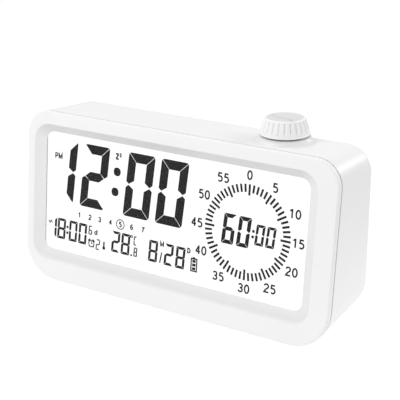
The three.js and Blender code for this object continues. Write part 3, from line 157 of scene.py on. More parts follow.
def from_face(x, y, out):
    """Points of the leaning face in millimetres: x across, y up the face, out from the glass.
    The face leans back, so its up and out turn together by the lean about the x axis."""
    x, y, out = np.broadcast_arrays(x, y, out)
    depth = y * np.sin(LEAN) - out * np.cos(LEAN)
    height = y * np.cos(LEAN) + out * np.sin(LEAN)
    return np.stack([x, depth, height], -1) + FACE_SHIFT


def rounded_outline(left, right, bottom, top, low_corner, high_corner, arc=20, runs=16):
    """Rounded rectangle, anticlockwise from its lower right corner. A corner is its centre plus its
    radius times (cos a, sin a) over a quarter turn; the straight runs are divided evenly."""
    centres = np.array([
        [right - low_corner, bottom + low_corner],
        [right - high_corner, top - high_corner],
        [left + high_corner, top - high_corner],
        [left + low_corner, bottom + low_corner],
    ])
    radii = np.array([low_corner, high_corner, high_corner, low_corner])
    angle = np.array([-0.5, 0, 0.5, 1])[:, None] * np.pi + np.linspace(0, np.pi / 2, arc + 1)
    arcs = centres[:, None] + radii[:, None, None] * np.stack([np.cos(angle), np.sin(angle)], -1)
    share = np.linspace(0, 1, runs + 2)[1:-1, None]
    ends = np.roll(arcs[:, 0], -1, axis=0)
    straight = arcs[:, -1, None] + share * (ends - arcs[:, -1])[:, None]
    return np.concatenate([arcs, straight], axis=1).reshape(-1, 2)


def mesh_of(name, skins):
    """One mesh of several closed skins, each given as its points in millimetres and its faces."""
    points, faces, start = [], [], 0
    for skin_points, skin_faces in skins:
        points.append(np.reshape(skin_points, (-1, 3)))
        faces += [[int(i) + start for i in face] for face in skin_faces]
        start += len(points[-1])
    mesh = bpy.data.meshes.new(name)
    mesh.from_pydata((np.concatenate(points) * MM).tolist(), [], faces)
    return mesh


def outward(mesh):
    """Merges the points that coincide and turns the faces of every closed skin outwards."""
    work = bmesh.new()
    work.from_mesh(mesh)
    bmesh.ops.remove_doubles(work, verts=work.verts, dist=1e-7)
    bmesh.ops.recalc_face_normals(work, faces=work.faces)
    work.to_mesh(mesh)
    work.free()


SHARP = 35


def new_piece(name, skins, material, body, stands_for=(), sharp=SHARP, recess=None):
    """One object of several closed skins. Edges that turn by more than the sharp angle in degrees
    stay crisp and the rest is shaded smooth. Recess is a share of painted shade for each point, for
    the material."""
    mesh = mesh_of(name, skins)
    if recess is not None:
        # The share of painted shade rides on the points as the recess attribute.
        mesh.attributes.new("recess", "FLOAT", "POINT").data.foreach_set("value", np.ravel(recess))
    outward(mesh)
    mesh.shade_smooth()
    mesh.set_sharp_from_angle(angle=np.radians(sharp))
    mesh.materials.append(material)
    made = bpy.data.objects.new(name, mesh)
    bpy.context.scene.collection.objects.link(made)
    made.modifiers.new("even shading", "WEIGHTED_NORMAL").keep_sharp = True
    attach(made, body)
    if stands_for:
        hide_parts(*stands_for)
    return made


def moulded_plastic(name, colour, roughness, grain, depth, mottle=0.02):
    """Moulded plastic: an even colour with a faint flow mottle, and the fine spark-eroded grain of
    the mould as a bump, both from noise on the piece's own coordinates."""
    material = bpy.data.materials.new(name)
    material.use_nodes = True
    nodes, links = material.node_tree.nodes, material.node_tree.links
    shader, place = shader_of(material), own_place(material)
    flow = nodes.new("ShaderNodeTexNoise")
    flow.inputs["Scale"].default_value = 35
    flow.inputs["Detail"].default_value = 3
    tint = nodes.new("ShaderNodeValToRGB")
    tint.color_ramp.elements[0].color = (*(c * (1 - mottle) for c in colour), 1)
    tint.color_ramp.elements[1].color = (*colour, 1)
    tint.color_ramp.elements[0].position = 0.3
    tint.color_ramp.elements[1].position = 0.7
    fine = nodes.new("ShaderNodeTexNoise")
    fine.inputs["Scale"].default_value = grain
    fine.inputs["Detail"].default_value = 4
    gloss = nodes.new("ShaderNodeMapRange")
    gloss.inputs["To Min"].default_value = roughness - 0.06
    gloss.inputs["To Max"].default_value = roughness + 0.06
    bump = nodes.new("ShaderNodeBump")
    bump.inputs["Strength"].default_value = 0.35
    bump.inputs["Distance"].default_value = depth
    links.new(place, flow.inputs["Vector"])
    links.new(place, fine.inputs["Vector"])
    links.new(flow.outputs["Fac"], tint.inputs["Fac"])
    links.new(tint.outputs["Color"], shader.inputs["Base Color"])
    links.new(fine.outputs["Fac"], gloss.inputs["Value"])
    links.new(gloss.outputs["Result"], shader.inputs["Roughness"])
    links.new(fine.outputs["Fac"], bump.inputs["Height"])
    links.new(bump.outputs["Normal"], shader.inputs["Normal"])
    return material


def case_outline(level, distance):
    """Outline of the case on a plane of the leaning face. Behind the seam the walls draw in by
    their draft: each side moves by its tangent times the depth behind the seam."""
    back = max(0, SEAM_LEVEL - level)
    side, low, high = back * np.tan(np.radians([3, 9, 3]))
    return rounded_outline(-HALF_WIDTH + side + distance, HALF_WIDTH - side - distance,
                           -HALF_HEIGHT + low + distance, HALF_HEIGHT + high - distance,
                           LOW_CORNER - distance, HIGH_CORNER - distance)


WINDOW_LEFT, WINDOW_RIGHT, WINDOW_BOTTOM, WINDOW_TOP = -71.2, 66.2, -25.7, 30.25


def window_outline(side, top, bottom, corner):
    """Outline round the display window, wider than it by a margin at the sides, top and bottom. The
    left margin is a tenth smaller and the upper corners are a tenth rounder."""
    return rounded_outline(WINDOW_LEFT - 0.9 * side, WINDOW_RIGHT + side, WINDOW_BOTTOM - bottom,
                           WINDOW_TOP + top, corner, corner * 1.1)


def face_rings(outlines, levels):
    """Rings of the leaning face: each outline at its own level, as one grid of points."""
    return np.stack([from_face(*o.T, level) for o, level in zip(outlines, levels)])


RIM_BACK, RIM_FRONT, EDGE_ROUND = 2.05, 4.6, 0.9
TONGUE_BACK = -2
SIDE_RUN, TOP_RUN = 5.1, 4
MOUTH_CORNER, WINDOW_CORNER = 8, 4.2
# The rim's rings from its rear edge round to its flat front: how far inside the outline, and level.
edge_turn = np.linspace(0, np.pi / 2, 9)
outer_inset = [2.9, 0.2, 0.05, 0, *(EDGE_ROUND * (1 - np.cos(edge_turn))), 1.3]
outer_level = [RIM_BACK, RIM_BACK, 2.18, 2.6,
               *(RIM_FRONT - EDGE_ROUND + EDGE_ROUND * np.sin(edge_turn)), RIM_FRONT]
# The sloped walls' rings: share of the way down, the same for the crisper side walls, and level.
rim_share = np.array([-0.12, -0.03, 0.03, 0.09, 0.15, 0.22, 0.3, 0.42, 0.7, 0.97, 1, 1])
crisp_share = np.array([-0.04, -0.01, 0.01, 0.045, 0.09, 0.165, 0.26, 0.39, 0.67, 0.96, 1, 1])
rim_level = np.array([RIM_FRONT, 4.58, 4.52, 4.42, 4.26, 4.02, 3.7, 3.26, 2.36, 1.5, 1.35, 1.2])
slope_corner = MOUTH_CORNER - (MOUTH_CORNER - WINDOW_CORNER) * np.clip(rim_share, 0, 1)
slopes = [window_outline(SIDE_RUN * (1 - c), TOP_RUN * (1 - s), SIDE_RUN * (1 - s), corner)
          for s, c, corner in zip(rim_share, crisp_share, slope_corner)]
tongue = [case_outline(TONGUE_BACK, distance) for distance in (3.8, 3.8, 2.4, 2.4)]
tongue_level = [rim_level[-1], TONGUE_BACK, TONGUE_BACK, RIM_BACK]
bezel_rings = face_rings([case_outline(RIM_FRONT, d) for d in outer_inset] + slopes + tongue,
                         [*outer_level, *rim_level, *tongue_level])
frame_skin = (bezel_rings, grid_faces(*bezel_rings.shape[:2], close_rows=True))


def coloured(material, share, colour, blend="MIX"):
    """A second colour covers or multiplies the first: wholly where the surface gives a share of
    one, and less where the share is smaller."""
    links, surface = material.node_tree.links, shader_of(material).inputs["Base Color"]
    mix = material.node_tree.nodes.new("ShaderNodeMix")
    mix.data_type, mix.blend_type = "RGBA", blend
    mix.inputs["B"].default_value = (*colour, 1)
    links.new(share, mix.inputs["Factor"])
    links.new(surface.links[0].from_socket, mix.inputs["A"])
    links.new(mix.outputs["Result"], surface)


def painted_shade_share(material):
    """The share of painted shade that the piece carries at each of its points."""
    node = material.node_tree.nodes.new("ShaderNodeAttribute")
    node.attribute_name = "recess"
    return node.outputs["Fac"]


# Painted shade: the sloped walls are darkened towards the window, most of all the upper one, less
# the lower one and least the side ones, standing in for the shade in the recess.
WHITE = (0.88, 0.88, 0.88)
GRAIN, GRAIN_DEPTH = 9000, 0.00002
UPPER_GREY, LOWER_GREY, RIGHT_GREY, LEFT_GREY = 1, 0.7, 0.4, 0.15
frame_abs = moulded_plastic("frame_abs", WHITE, 0.5, GRAIN, GRAIN_DEPTH)
# Painted shade: the walls' share multiplies the white by grey.
coloured(frame_abs, painted_shade_share(frame_abs), (0.78, 0.78, 0.78), "MULTIPLY")
wall_painted_shade = np.zeros(bezel_rings.shape[:2])
wall_rows = slice(len(outer_inset), len(outer_inset) + len(rim_share))
wall_run = bezel_rings[wall_rows][0] - bezel_rings[wall_rows][-1]
across, up = wall_run[:, [0, 2]].T / np.hypot(wall_run[:, 0], wall_run[:, 2])
wall_weight = np.where(up > 0, UPPER_GREY, LOWER_GREY) * up**2
wall_weight += np.where(across > 0, RIGHT_GREY, LEFT_GREY) * across**2
inward = np.clip(rim_share, 0, 1)[:, None]
lower = np.where(up < 0, up**2, 0)
wall_fade = np.clip(inward / (0.12 + 0.25 * lower), 0, 1) * (1 - 0.55 * inward * lower)
wall_painted_shade[wall_rows] = wall_fade * wall_weight
new_piece("front_frame", [frame_skin], frame_abs, "case", ["front_bezel"],
          recess=wall_painted_shade)

# Rear housing
# One white ABS shell: walls that draw in towards the back, a rounded rear edge, openings for the
# controls, socket, sound and air, four foot pads below and a flared collar under the knob.
REAR_WALL, REAR_ROUND = 34, 3.5
ROUND_START = REAR_WALL - REAR_ROUND
WALL = 2
POLE = 0.05  # radius at which a turned skin is capped


def wall_ring(depth, distance):
    """Outline of the case where an upright plane at a depth crosses its walls: each point moves
    along the straight line of its wall from the seam to far behind."""
    near, far = (from_face(*case_outline(w, distance).T, w) for w in (SEAM_LEVEL, -66))
    share = (depth + FACE_SHIFT[1] - near[:, 1]) / (far[:, 1] - near[:, 1])
    return near + share[:, None] * (far - near)


def seam_ring(level, distance):
    """Outline of the case on a plane of the leaning face, as points in space."""
    return from_face(*case_outline(level, distance).T, level)


def lofted(rings):
    """Closed skin over rings of one size: a grid between them and a flat cap on each end."""
    rings = np.stack(rings)
    levels, count = rings.shape[:2]
    last = (levels - 1) * count
    caps = [list(range(count))[::-1], list(range(last, last + count))]
    return rings, [*grid_faces(levels, count).tolist(), *caps]


def from_rear(x, y, out):
    """Points on the rear wall in millimetres: x to the right as seen from behind, y up from the
    middle of the front, and out of the wall."""
    x, y, out = np.broadcast_arrays(x, y, out)
    return np.stack([-x, REAR_WALL + out, y], -1) + FACE_SHIFT


def rear_block(x, y, width, height, corner, margins, levels, **steps):
    """Closed skin that stands on the rear wall: a rounded rectangle about a place, wider on every
    side by the margin that belongs to each level."""
    sides = [(width / 2 + across, height / 2 + up, corner + bend) for across, up, bend in margins]
    outlines = [rounded_outline(x - half_x, x + half_x, y - half_y, y + half_y, bend, bend, **steps)
                for half_x, half_y, bend in sides]
    return lofted([from_rear(*o.T, out) for o, out in zip(outlines, levels)])


def rounded_mouth(edge, width, height, corner, x, y):
    """Cutter for an opening in the rear wall: a straight pill that flares at the outer face by a
    quarter round of the edge radius."""
    turn = np.linspace(0, np.pi / 2, 6)
    flare = [0, 0, *(edge * (1 - np.cos(turn))), edge]
    level = [-3, -edge * 1.5, *(edge * (np.sin(turn) - 1)), 1]
    return rear_block(x, y, width, height, corner, [(wide,) * 3 for wide in flare], level,
                      arc=8, runs=0)


def turned_skin(profile, steps, centre, place=None):
    """Closed skin of a profile of (radius, height) points turned about an axis: each point runs
    round a circle, and the small circles at both ends are capped. Place puts it on another plane."""
    angle = np.linspace(0, 2 * np.pi, steps, endpoint=False)
    radius, height = np.array(profile).T[:, :, None]
    x, y = radius * np.cos(angle) + centre[0], radius * np.sin(angle) + centre[1]
    z = np.broadcast_to(height, x.shape)
    return lofted(np.stack([x, y, z], -1) + FACE_SHIFT if place is None else place(x, y, z))


def cut_piece(made, cutters):
    """The piece less every cutter, worked out once and kept as plain faces."""
    mesh = mesh_of("cutters", cutters)
    outward(mesh)
    tool = bpy.data.objects.new("cutters", mesh)
    bpy.context.scene.collection.objects.link(tool)
    step = made.modifiers.new("openings", "BOOLEAN")
    step.operation, step.solver, step.object = "DIFFERENCE", "EXACT", tool
    step.use_self = True
    seen = bpy.context.evaluated_depsgraph_get()
    result = bpy.data.meshes.new_from_object(made.evaluated_get(seen))
    made.modifiers.remove(step)
    bpy.data.objects.remove(tool)
    made.data = result
    result.shade_smooth()
    result.set_sharp_from_angle(angle=np.radians(SHARP))


# The shell's rings run round its front edge, back over the outside and forward again inside.
SHELL_FRONT, SHELL_CHAMFER = 1.34, 0.08
round_turn = np.linspace(0, np.pi / 2, 11)
side_share = np.array([0.03, 0.25, 0.5, 0.75, 0.97])[:, None, None]
front_edge, rear_start = seam_ring(SHELL_FRONT, 0), wall_ring(ROUND_START, 0)
wall_between = front_edge + side_share * (rear_start - front_edge)
outside = [seam_ring(SHELL_FRONT + SHELL_CHAMFER, SHELL_CHAMFER), front_edge, *wall_between,
           *(wall_ring(ROUND_START + REAR_ROUND * np.sin(a), REAR_ROUND * (1 - np.cos(a)))
             for a in round_turn)]
inner_start = seam_ring(SHELL_FRONT + SHELL_CHAMFER, WALL)
inner_end = wall_ring(ROUND_START, WALL)
inside = [wall_ring(REAR_WALL - WALL, WALL + 1.5), wall_ring(REAR_WALL - WALL - 0.4, WALL + 0.5),
          inner_end, *(inner_end + (1 - side_share[::-1]) * (inner_start - inner_end))[1:4],
          inner_start]
shell = lofted([*inside, *outside])

KNOB_CENTRE = np.array([44.1, 19.1])
TOP_FALL = np.tan(np.radians(3))
seam_low, seam_top = (np.array([half * np.sin(LEAN) - SEAM_LEVEL * np.cos(LEAN),
                                half * np.cos(LEAN) + SEAM_LEVEL * np.sin(LEAN)])
                      for half in (-HALF_HEIGHT, HALF_HEIGHT))


def top_height(depth):
    """Height of the housing's top at a depth: it falls by its draft, then over the rear rounding."""
    over = np.clip(depth - ROUND_START, 0, REAR_ROUND)
    drop = REAR_ROUND - np.sqrt(REAR_ROUND**2 - over**2)
    return seam_top[1] - (depth - seam_top[0]) * TOP_FALL - drop


COLLAR_TOP = seam_top[1] - (KNOB_CENTRE[1] - seam_top[0]) * TOP_FALL + 2
COLLAR_FOOT, COLLAR_RIM, SHAFT_HOLE = 13.6, 10.65, 3.65
# The collar's rings: radius, share of the height between housing and top, and depth in the shell.
flank = np.linspace(0, 1, 15)
edge_arc = np.linspace(0.2, np.pi / 2, 5)
collar_radius = np.array([SHAFT_HOLE, COLLAR_FOOT, *(COLLAR_FOOT - 2.7 * flank**0.8),
                          *(COLLAR_RIM + 0.28 * np.cos(edge_arc)), SHAFT_HOLE])
collar_rise = np.array([0, 0, *(0.92 * flank**1.4), *(0.91 + 0.09 * np.sin(edge_arc)), 1]) * 1.16
collar_sink = np.array([1.5, 1.5, *np.zeros(len(collar_radius) - 2)])
collar_angle = np.linspace(0, 2 * np.pi, 128, endpoint=False)
collar_x = KNOB_CENTRE[0] + collar_radius[:, None] * np.cos(collar_angle)
collar_y = KNOB_CENTRE[1] + collar_radius[:, None] * np.sin(collar_angle)
collar_base = top_height(collar_y) - collar_sink[:, None]
collar_z = collar_base + (COLLAR_TOP - collar_base) * collar_rise[:, None]
collar_points = np.stack([collar_x, collar_y, collar_z], -1) + FACE_SHIFT
collar = (collar_points, grid_faces(*collar_points.shape[:2], close_rows=True))

FOOT_PLACES = {"front_left": (-60, 4), "front_right": (60, 4),
               "rear_left": (-60, 24), "rear_right": (60, 24)}
PAD_BOTTOM = seam_low[1] - 0.1
PAD_RADIUS, RECESS_RADIUS = 6.4, 5.3
RECESS_ROOF = PAD_BOTTOM + 0.6
pads = []
for x, y in FOOT_PLACES.values():
    pad_top = seam_low[1] + (y - seam_low[0]) * TOP_FALL + 1.4
    pad = [(POLE, RECESS_ROOF), (RECESS_RADIUS, RECESS_ROOF), (RECESS_RADIUS, PAD_BOTTOM + 0.2),
           (5.36, PAD_BOTTOM + 0.06), (5.5, PAD_BOTTOM), (6.15, PAD_BOTTOM), (6.33, PAD_BOTTOM + 0.07),
           (PAD_RADIUS, PAD_BOTTOM + 0.25), (PAD_RADIUS, pad_top), (POLE, pad_top)]
    pads.append(turned_skin(pad, 48, (x, y)))

# Painted shade: the collar's flank is darkened as if in the knob's shadow, and so is the front edge,
# as the shade in the gap behind the frame, where it shows as a thin line.
shell_abs = moulded_plastic("shell_abs", WHITE, 0.37, GRAIN, GRAIN_DEPTH)
collar_middle = np.array([*(KNOB_CENTRE + [0, FACE_SHIFT[1]]), COLLAR_TOP + FACE_SHIFT[2]])
collar_painted_shade = place_share(shell_abs, "DISTANCE", collar_middle * MM,
                        (COLLAR_FOOT + 0.6) * MM, (COLLAR_FOOT - 0.8) * MM)
coloured(shell_abs, collar_painted_shade, (0.9, 0.9, 0.9), "MULTIPLY")
outwards = np.array([0, -np.cos(LEAN), np.sin(LEAN)])
edge_start, edge_end = (FACE_SHIFT @ outwards + SHELL_FRONT - np.array([0.12, 0.04])) * MM
edge_painted_shade = place_share(shell_abs, "DOT_PRODUCT", outwards, edge_start, edge_end, smooth="LINEAR")
coloured(shell_abs, edge_painted_shade, (0.88, 0.88, 0.88), "MULTIPLY")
housing = new_piece("housing_shell", [shell, collar, *pads], shell_abs, "case",
                    ["rear_housing"])

CONTROL_ROW = 14
SOCKET_X, SWITCH_X, SPEAKER_X = -46, -30, 58
KEY_PLACES = {"alarm": -12, "set": 4, "up": 20, "down": 36}
KEY_WIDTH, KEY_HEIGHT, KEY_CORNER, KEY_GAP = 12, 6, 2.94, 0.3
HOLE_WIDTH, HOLE_CORNER, HOLE_PITCH = 1.8, 0.89, 3.6
VENT_START, VENT_PITCH = -6, 3.4
POCKET_RADIUS, POCKET_ROOF = 9.5, COLLAR_TOP - 2.4
openings = [rounded_mouth(0.35, KEY_WIDTH + 2 * KEY_GAP, KEY_HEIGHT + 2 * KEY_GAP,
                          KEY_CORNER + KEY_GAP, x, CONTROL_ROW) for x in KEY_PLACES.values()]
openings.append(rounded_mouth(0.25, 9.2, 3.6, 0.5, SWITCH_X, CONTROL_ROW))
openings.append(rounded_mouth(0.4, 9.6, 3.9, 1.9, SOCKET_X, CONTROL_ROW))
openings += [rounded_mouth(0.25, 16, 1.4, 0.65, SOCKET_X, VENT_START - VENT_PITCH * i)
             for i in range(3)]
for ring, count in enumerate((1, 6, 12)):
    openings += [rounded_mouth(0.15, HOLE_WIDTH, HOLE_WIDTH, HOLE_CORNER,
                               SPEAKER_X + HOLE_PITCH * ring * np.cos(a),
                               CONTROL_ROW + HOLE_PITCH * ring * np.sin(a))
                 for a in np.arange(count) * 2 * np.pi / count]
# The encoder's pocket below the collar, with the hole for its shaft.
pocket = [(POLE, 34), (POCKET_RADIUS, 34), (POCKET_RADIUS, POCKET_ROOF), (SHAFT_HOLE, POCKET_ROOF),
          (SHAFT_HOLE, 45), (POLE, 45)]
openings.append(turned_skin(pocket, 48, KNOB_CENTRE))
recess = [(POLE, PAD_BOTTOM - 1), (RECESS_RADIUS, PAD_BOTTOM - 1), (RECESS_RADIUS, RECESS_ROOF),
          (POLE, RECESS_ROOF)]
openings += [turned_skin(recess, 48, place) for place in FOOT_PLACES.values()]
cut_piece(housing, openings)

# Timer knob
# White ABS with a satin skin: a thin rim, 24 soft grooves up the tapering side, and a dished top with
# an S-shaped step for the fingertip. It is pushed onto the encoder's shaft.
KNOB_FOOT = COLLAR_TOP + 0.7
GROOVES = 24
GROOVE_DEPTH, GROOVE_START = 0.7, 0.105
BORE, SKIRT, RIM = 3.05, 8.0, 10.61
KNOB_TOP, DISH_DEPTH, DISH_EDGE, DISH_RIM = 7.25, 0.85, 7.8, 7.9
STEP_HEIGHT, STEP_SOFTNESS, LINE_WIDTH = 0.28, 0.45, 0.6
satin_abs = moulded_plastic("satin_abs", (0.9, 0.9, 0.9), 0.42, 12000, 0.00001)
# Painted shade: the knob's dish is darkened, most along its S-shaped crease.
coloured(satin_abs, painted_shade_share(satin_abs), (0.62, 0.62, 0.62), "MULTIPLY")


def knob_grid():
    """Points of the knob and the painted shade on each: a profile turned about its axis, whose side
    leans in by a power of the height and loses a raised-cosine groove in every pitch. Behind an
    S-shaped line the dish stands higher, by a smooth step; the dish carries painted shade, darkest
    on that line as the shade of its crease."""
    pitch = np.array([0, 0.12, 0.22, *np.linspace(0.3, 0.7, 11), 0.78, 0.88])
    angle = (np.arange(GROOVES)[:, None] + pitch).reshape(-1) * 2 * np.pi / GROOVES
    groove = np.clip(1 - np.abs((angle * GROOVES / (2 * np.pi)) % 1 - 0.5) / 0.2, 0, 1)
    groove = GROOVE_DEPTH * (0.5 - 0.5 * np.cos(np.pi * groove))
    angle = angle + GROOVE_START
    side = np.linspace(0, 1, 19)
    # The grooves start a little over the rim and run out under the rounded shoulder.
    share = np.clip((side - 0.12) / 0.14, 0, 1) * np.clip((1.04 - side) / 0.1, 0, 1)
    turn = np.linspace(0.1, 1, 8) * np.pi / 2
    dish = np.linspace(1, 0, 25)[1:]
    # Radius and height of the bore, the hollow and the rim, then of the side, shoulder and dish.
    inner = [(POLE, 5.5), (BORE, 5.5), (BORE, 3.3), (4.4, 3.3), (4.4, 3.9), (SKIRT, 3.9), (SKIRT, 0.3),
             (10.45, 0.3), (10.55, 0.33), (RIM, 0.42), (RIM, 0.58), (10.55, 0.72), (10.45, 0.84)]
    radius = np.array([*(r for r, _ in inner), *(10.25 - 1.45 * side**1.6),
                       *(8.0 + 0.8 * np.cos(turn)), DISH_RIM, *(DISH_EDGE * dish + POLE)])
    height = np.array([*(h for _, h in inner), *(1.0 + 5.45 * side), *(6.5 + 0.8 * np.sin(turn)),
                       KNOB_TOP + 0.04, *(KNOB_TOP - DISH_DEPTH * (1 - dish**3))])
    depth = np.zeros(len(radius))
    depth[len(inner):len(inner) + len(side)] = share
    r = radius[:, None] - depth[:, None] * groove
    x, y = r * np.cos(angle), r * np.sin(angle)
    z = np.broadcast_to(height[:, None], x.shape).copy()
    in_dish = slice(-len(dish), None)
    beyond = (y - 0.5 + x * (0.075 * np.abs(x) + 0.05 * x))[in_dish]
    fade = np.clip((1 - (r[in_dish] / DISH_RIM) ** 2) * 3, 0, 1)
    z[in_dish] += STEP_HEIGHT * np.tanh(beyond / STEP_SOFTNESS) * fade
    grey = np.zeros_like(z)
    grey[in_dish] = np.clip(fade * 4, 0, 1) * (0.54 + 0.36 * np.exp(-(beyond / LINE_WIDTH) ** 2))
    middle = [*(KNOB_CENTRE + [0, FACE_SHIFT[1]]), KNOB_FOOT + FACE_SHIFT[2]]
    return np.stack([x, y, z], -1) + middle, grey


knob_points, knob_painted_shade = knob_grid()
new_piece("knob_cap", [lofted(knob_points)], satin_abs, "knob", ["timer_knob"],
          sharp=50, recess=knob_painted_shade)

# Display glass
# The liquid crystal panel behind the window: two sheets of glass with a pale diffuser behind them,
# lit evenly from its side edges. The segments that are switched on are dark and stand just over it.


def dressed(material, *nodes):
    """The CAD solids take this material."""
    for node in nodes:
        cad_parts[node].material_slots[0].material = material


def speckled(name, low, high, scale, roughness, metal=0, bump=0, stretch=(1, 1, 1)):
    """Material whose colour runs between two values with noise on the piece's own coordinates,
    stretched where the finish has a direction. The same noise lifts the surface a little."""
    material = bpy.data.materials.new(name)
    material.use_nodes = True
    nodes, links = material.node_tree.nodes, material.node_tree.links
    shader, mapping = shader_of(material), nodes.new("ShaderNodeMapping")
    shader.inputs["Roughness"].default_value = roughness
    shader.inputs["Metallic"].default_value = metal
    mapping.inputs["Scale"].default_value = stretch
    grain, tint = nodes.new("ShaderNodeTexNoise"), nodes.new("ShaderNodeValToRGB")
    grain.inputs["Scale"].default_value = scale
    grain.inputs["Detail"].default_value = 3
    tint.color_ramp.elements[0].color = (*low, 1)
    tint.color_ramp.elements[1].color = (*high, 1)
    tint.color_ramp.elements[0].position = 0.35
    tint.color_ramp.elements[1].position = 0.65
    links.new(own_place(material), mapping.inputs["Vector"])
    links.new(mapping.outputs["Vector"], grain.inputs["Vector"])
    links.new(grain.outputs["Fac"], tint.inputs["Fac"])
    links.new(tint.outputs["Color"], shader.inputs["Base Color"])
    if bump:
        lift = nodes.new("ShaderNodeBump")
        lift.inputs["Strength"].default_value = 0.4
        lift.inputs["Distance"].default_value = bump
        links.new(grain.outputs["Fac"], lift.inputs["Height"])
        links.new(lift.outputs["Normal"], shader.inputs["Normal"])
    return material


panel = speckled("lit_panel", (0.10, 0.105, 0.10), (0.13, 0.135, 0.13), 400, 0.3)
shader_of(panel).inputs["Emission Color"].default_value = (1, 1, 1, 1)
shader_of(panel).inputs["Emission Strength"].default_value = 0.98
dressed(panel, "lcd_glass")

ink = speckled("segment_ink", (0.0105, 0.0105, 0.011), (0.0115, 0.0115, 0.012), 900, 0.5)
shader_of(ink).inputs["Specular IOR Level"].default_value = 0.15
INK_LEVELS = (0.03, 0.09)


def plate_of(outline):
    """Thin plate of ink: an outline of (x, y) points on the face between two levels."""
    return lofted([from_face(*np.array(outline).T, level) for level in INK_LEVELS])


def stroke_of(path, width, closed=False):
    """Band of ink along a path of (x, y) points: each point moves to both sides along the bisector
    of its two runs, far enough that the band keeps its width, at the two levels."""
    path = np.array(path, float)
    ahead = np.roll(path, -1, 0) - path
    if not closed:
        ahead[-1] = ahead[-2]
    ahead /= np.hypot(*ahead.T)[:, None]
    behind = np.roll(ahead, 1, 0)
    if not closed:
        behind[0] = ahead[0]
    side = (ahead + behind) @ [[0, 1], [-1, 0]]
    side *= width / (side**2).sum(1)[:, None]
    low, high = INK_LEVELS
    rows = [from_face(*(path + turn * side).T, level)
            for turn, level in ((1, low), (1, high), (-1, high), (-1, low))]
    faces = grid_faces(4, len(path), close_rows=True, close_columns=closed).tolist()
    if not closed:
        n = len(path)
        faces += [[0, n, 2 * n, 3 * n], [n - 1, 2 * n - 1, 3 * n - 1, 4 * n - 1]]
    return np.stack(rows), faces


def round_path(x, y, radius_x, radius_y, start=0, end=360, steps=24):
    """Points on an ellipse from one angle to another, in degrees, the end left out of a whole turn."""
    angle = np.radians(np.linspace(start, end, steps, endpoint=abs(end - start) < 360))
    return np.stack([x + radius_x * np.cos(angle), y + radius_y * np.sin(angle)], -1)


def ring_of(x, y, radius, width):
    """Thin ring of ink round a place, given by its outer radius."""
    return stroke_of(round_path(x, y, radius - width / 2, radius - width / 2), width, closed=True)


def disc_of(x, y, radius, power=2):
    """Dot of ink, along whose rim the powers of its two sides add up to the same: a circle for the
    power of two, and for a higher one a square with rounded corners."""
    angle = np.linspace(0, 2 * np.pi, 32, endpoint=False)
    across, up = np.cos(angle), np.sin(angle)
    size = radius * (np.abs(across)**power + np.abs(up)**power) ** (-1 / power)
    return plate_of(np.stack([x + size * across, y + size * up], -1))


def bar_of(x0, y0, x1, y1, width):
    """Straight stroke of ink of a width from one place to another."""
    along = np.array([x1 - x0, y1 - y0])
    side = np.array([-along[1], along[0]]) / np.hypot(*along) * width / 2
    start, end = np.array([x0, y0]), np.array([x1, y1])
    return plate_of([start - side, end - side, end + side, start + side])


LIT = {"0": "abcdef", "1": "bc", "2": "abged", "6": "afgedc", "8": "abcdefg", "C": "afed"}


def digit_of(character, x, y, half_width, half_height, stroke, lean=0.087):
    """Seven-bar figure: mitred end bars with a rounded outer corner, pointed side bars and a
    six-sided middle bar, drawn from the bar's stroke and sheared to the right by the lean."""
    w, h, t, k = half_width, half_height, stroke, stroke / 4.25
    cut, c = 0.35 * (0.12 + 0.1 * k), 1.5 * k
    near, mid, far = 0.076 * c, 0.293 * c, 0.617 * c
    top = np.array([(c - w, h), (w - c, h), (w - far, h - near), (w - mid - cut, h - mid + cut),
                    (w - t - 2 * cut, h - t), (t + 2 * cut - w, h - t),
                    (mid + cut - w, h - mid + cut), (far - w, h - near)])
    upper_left = np.array([(-w, h - c), (near - w, h - far), (mid - cut - w, h - mid - cut),
                           (t - w, h - t - 2 * cut), (t - w, 2.0 * k), (1.5 * k - w, 0.2 * k),
                           (-w, 1.35 * k)])
    middle = np.array([(1.9 * k - w, 0), (4.5 * k - w, 2.1 * k), (w - 4.5 * k, 2.1 * k),
                       (w - 1.9 * k, 0), (w - 4.5 * k, -2.1 * k), (4.5 * k - w, -2.1 * k)])
    bars = {"a": top, "d": top * [1, -1], "f": upper_left, "b": upper_left * [-1, 1],
            "e": upper_left * [1, -1], "c": upper_left * [-1, -1], "g": middle}
    return [plate_of(bars[bar] @ [[1, 0], [lean, 1]] + [x, y]) for bar in LIT[character]]


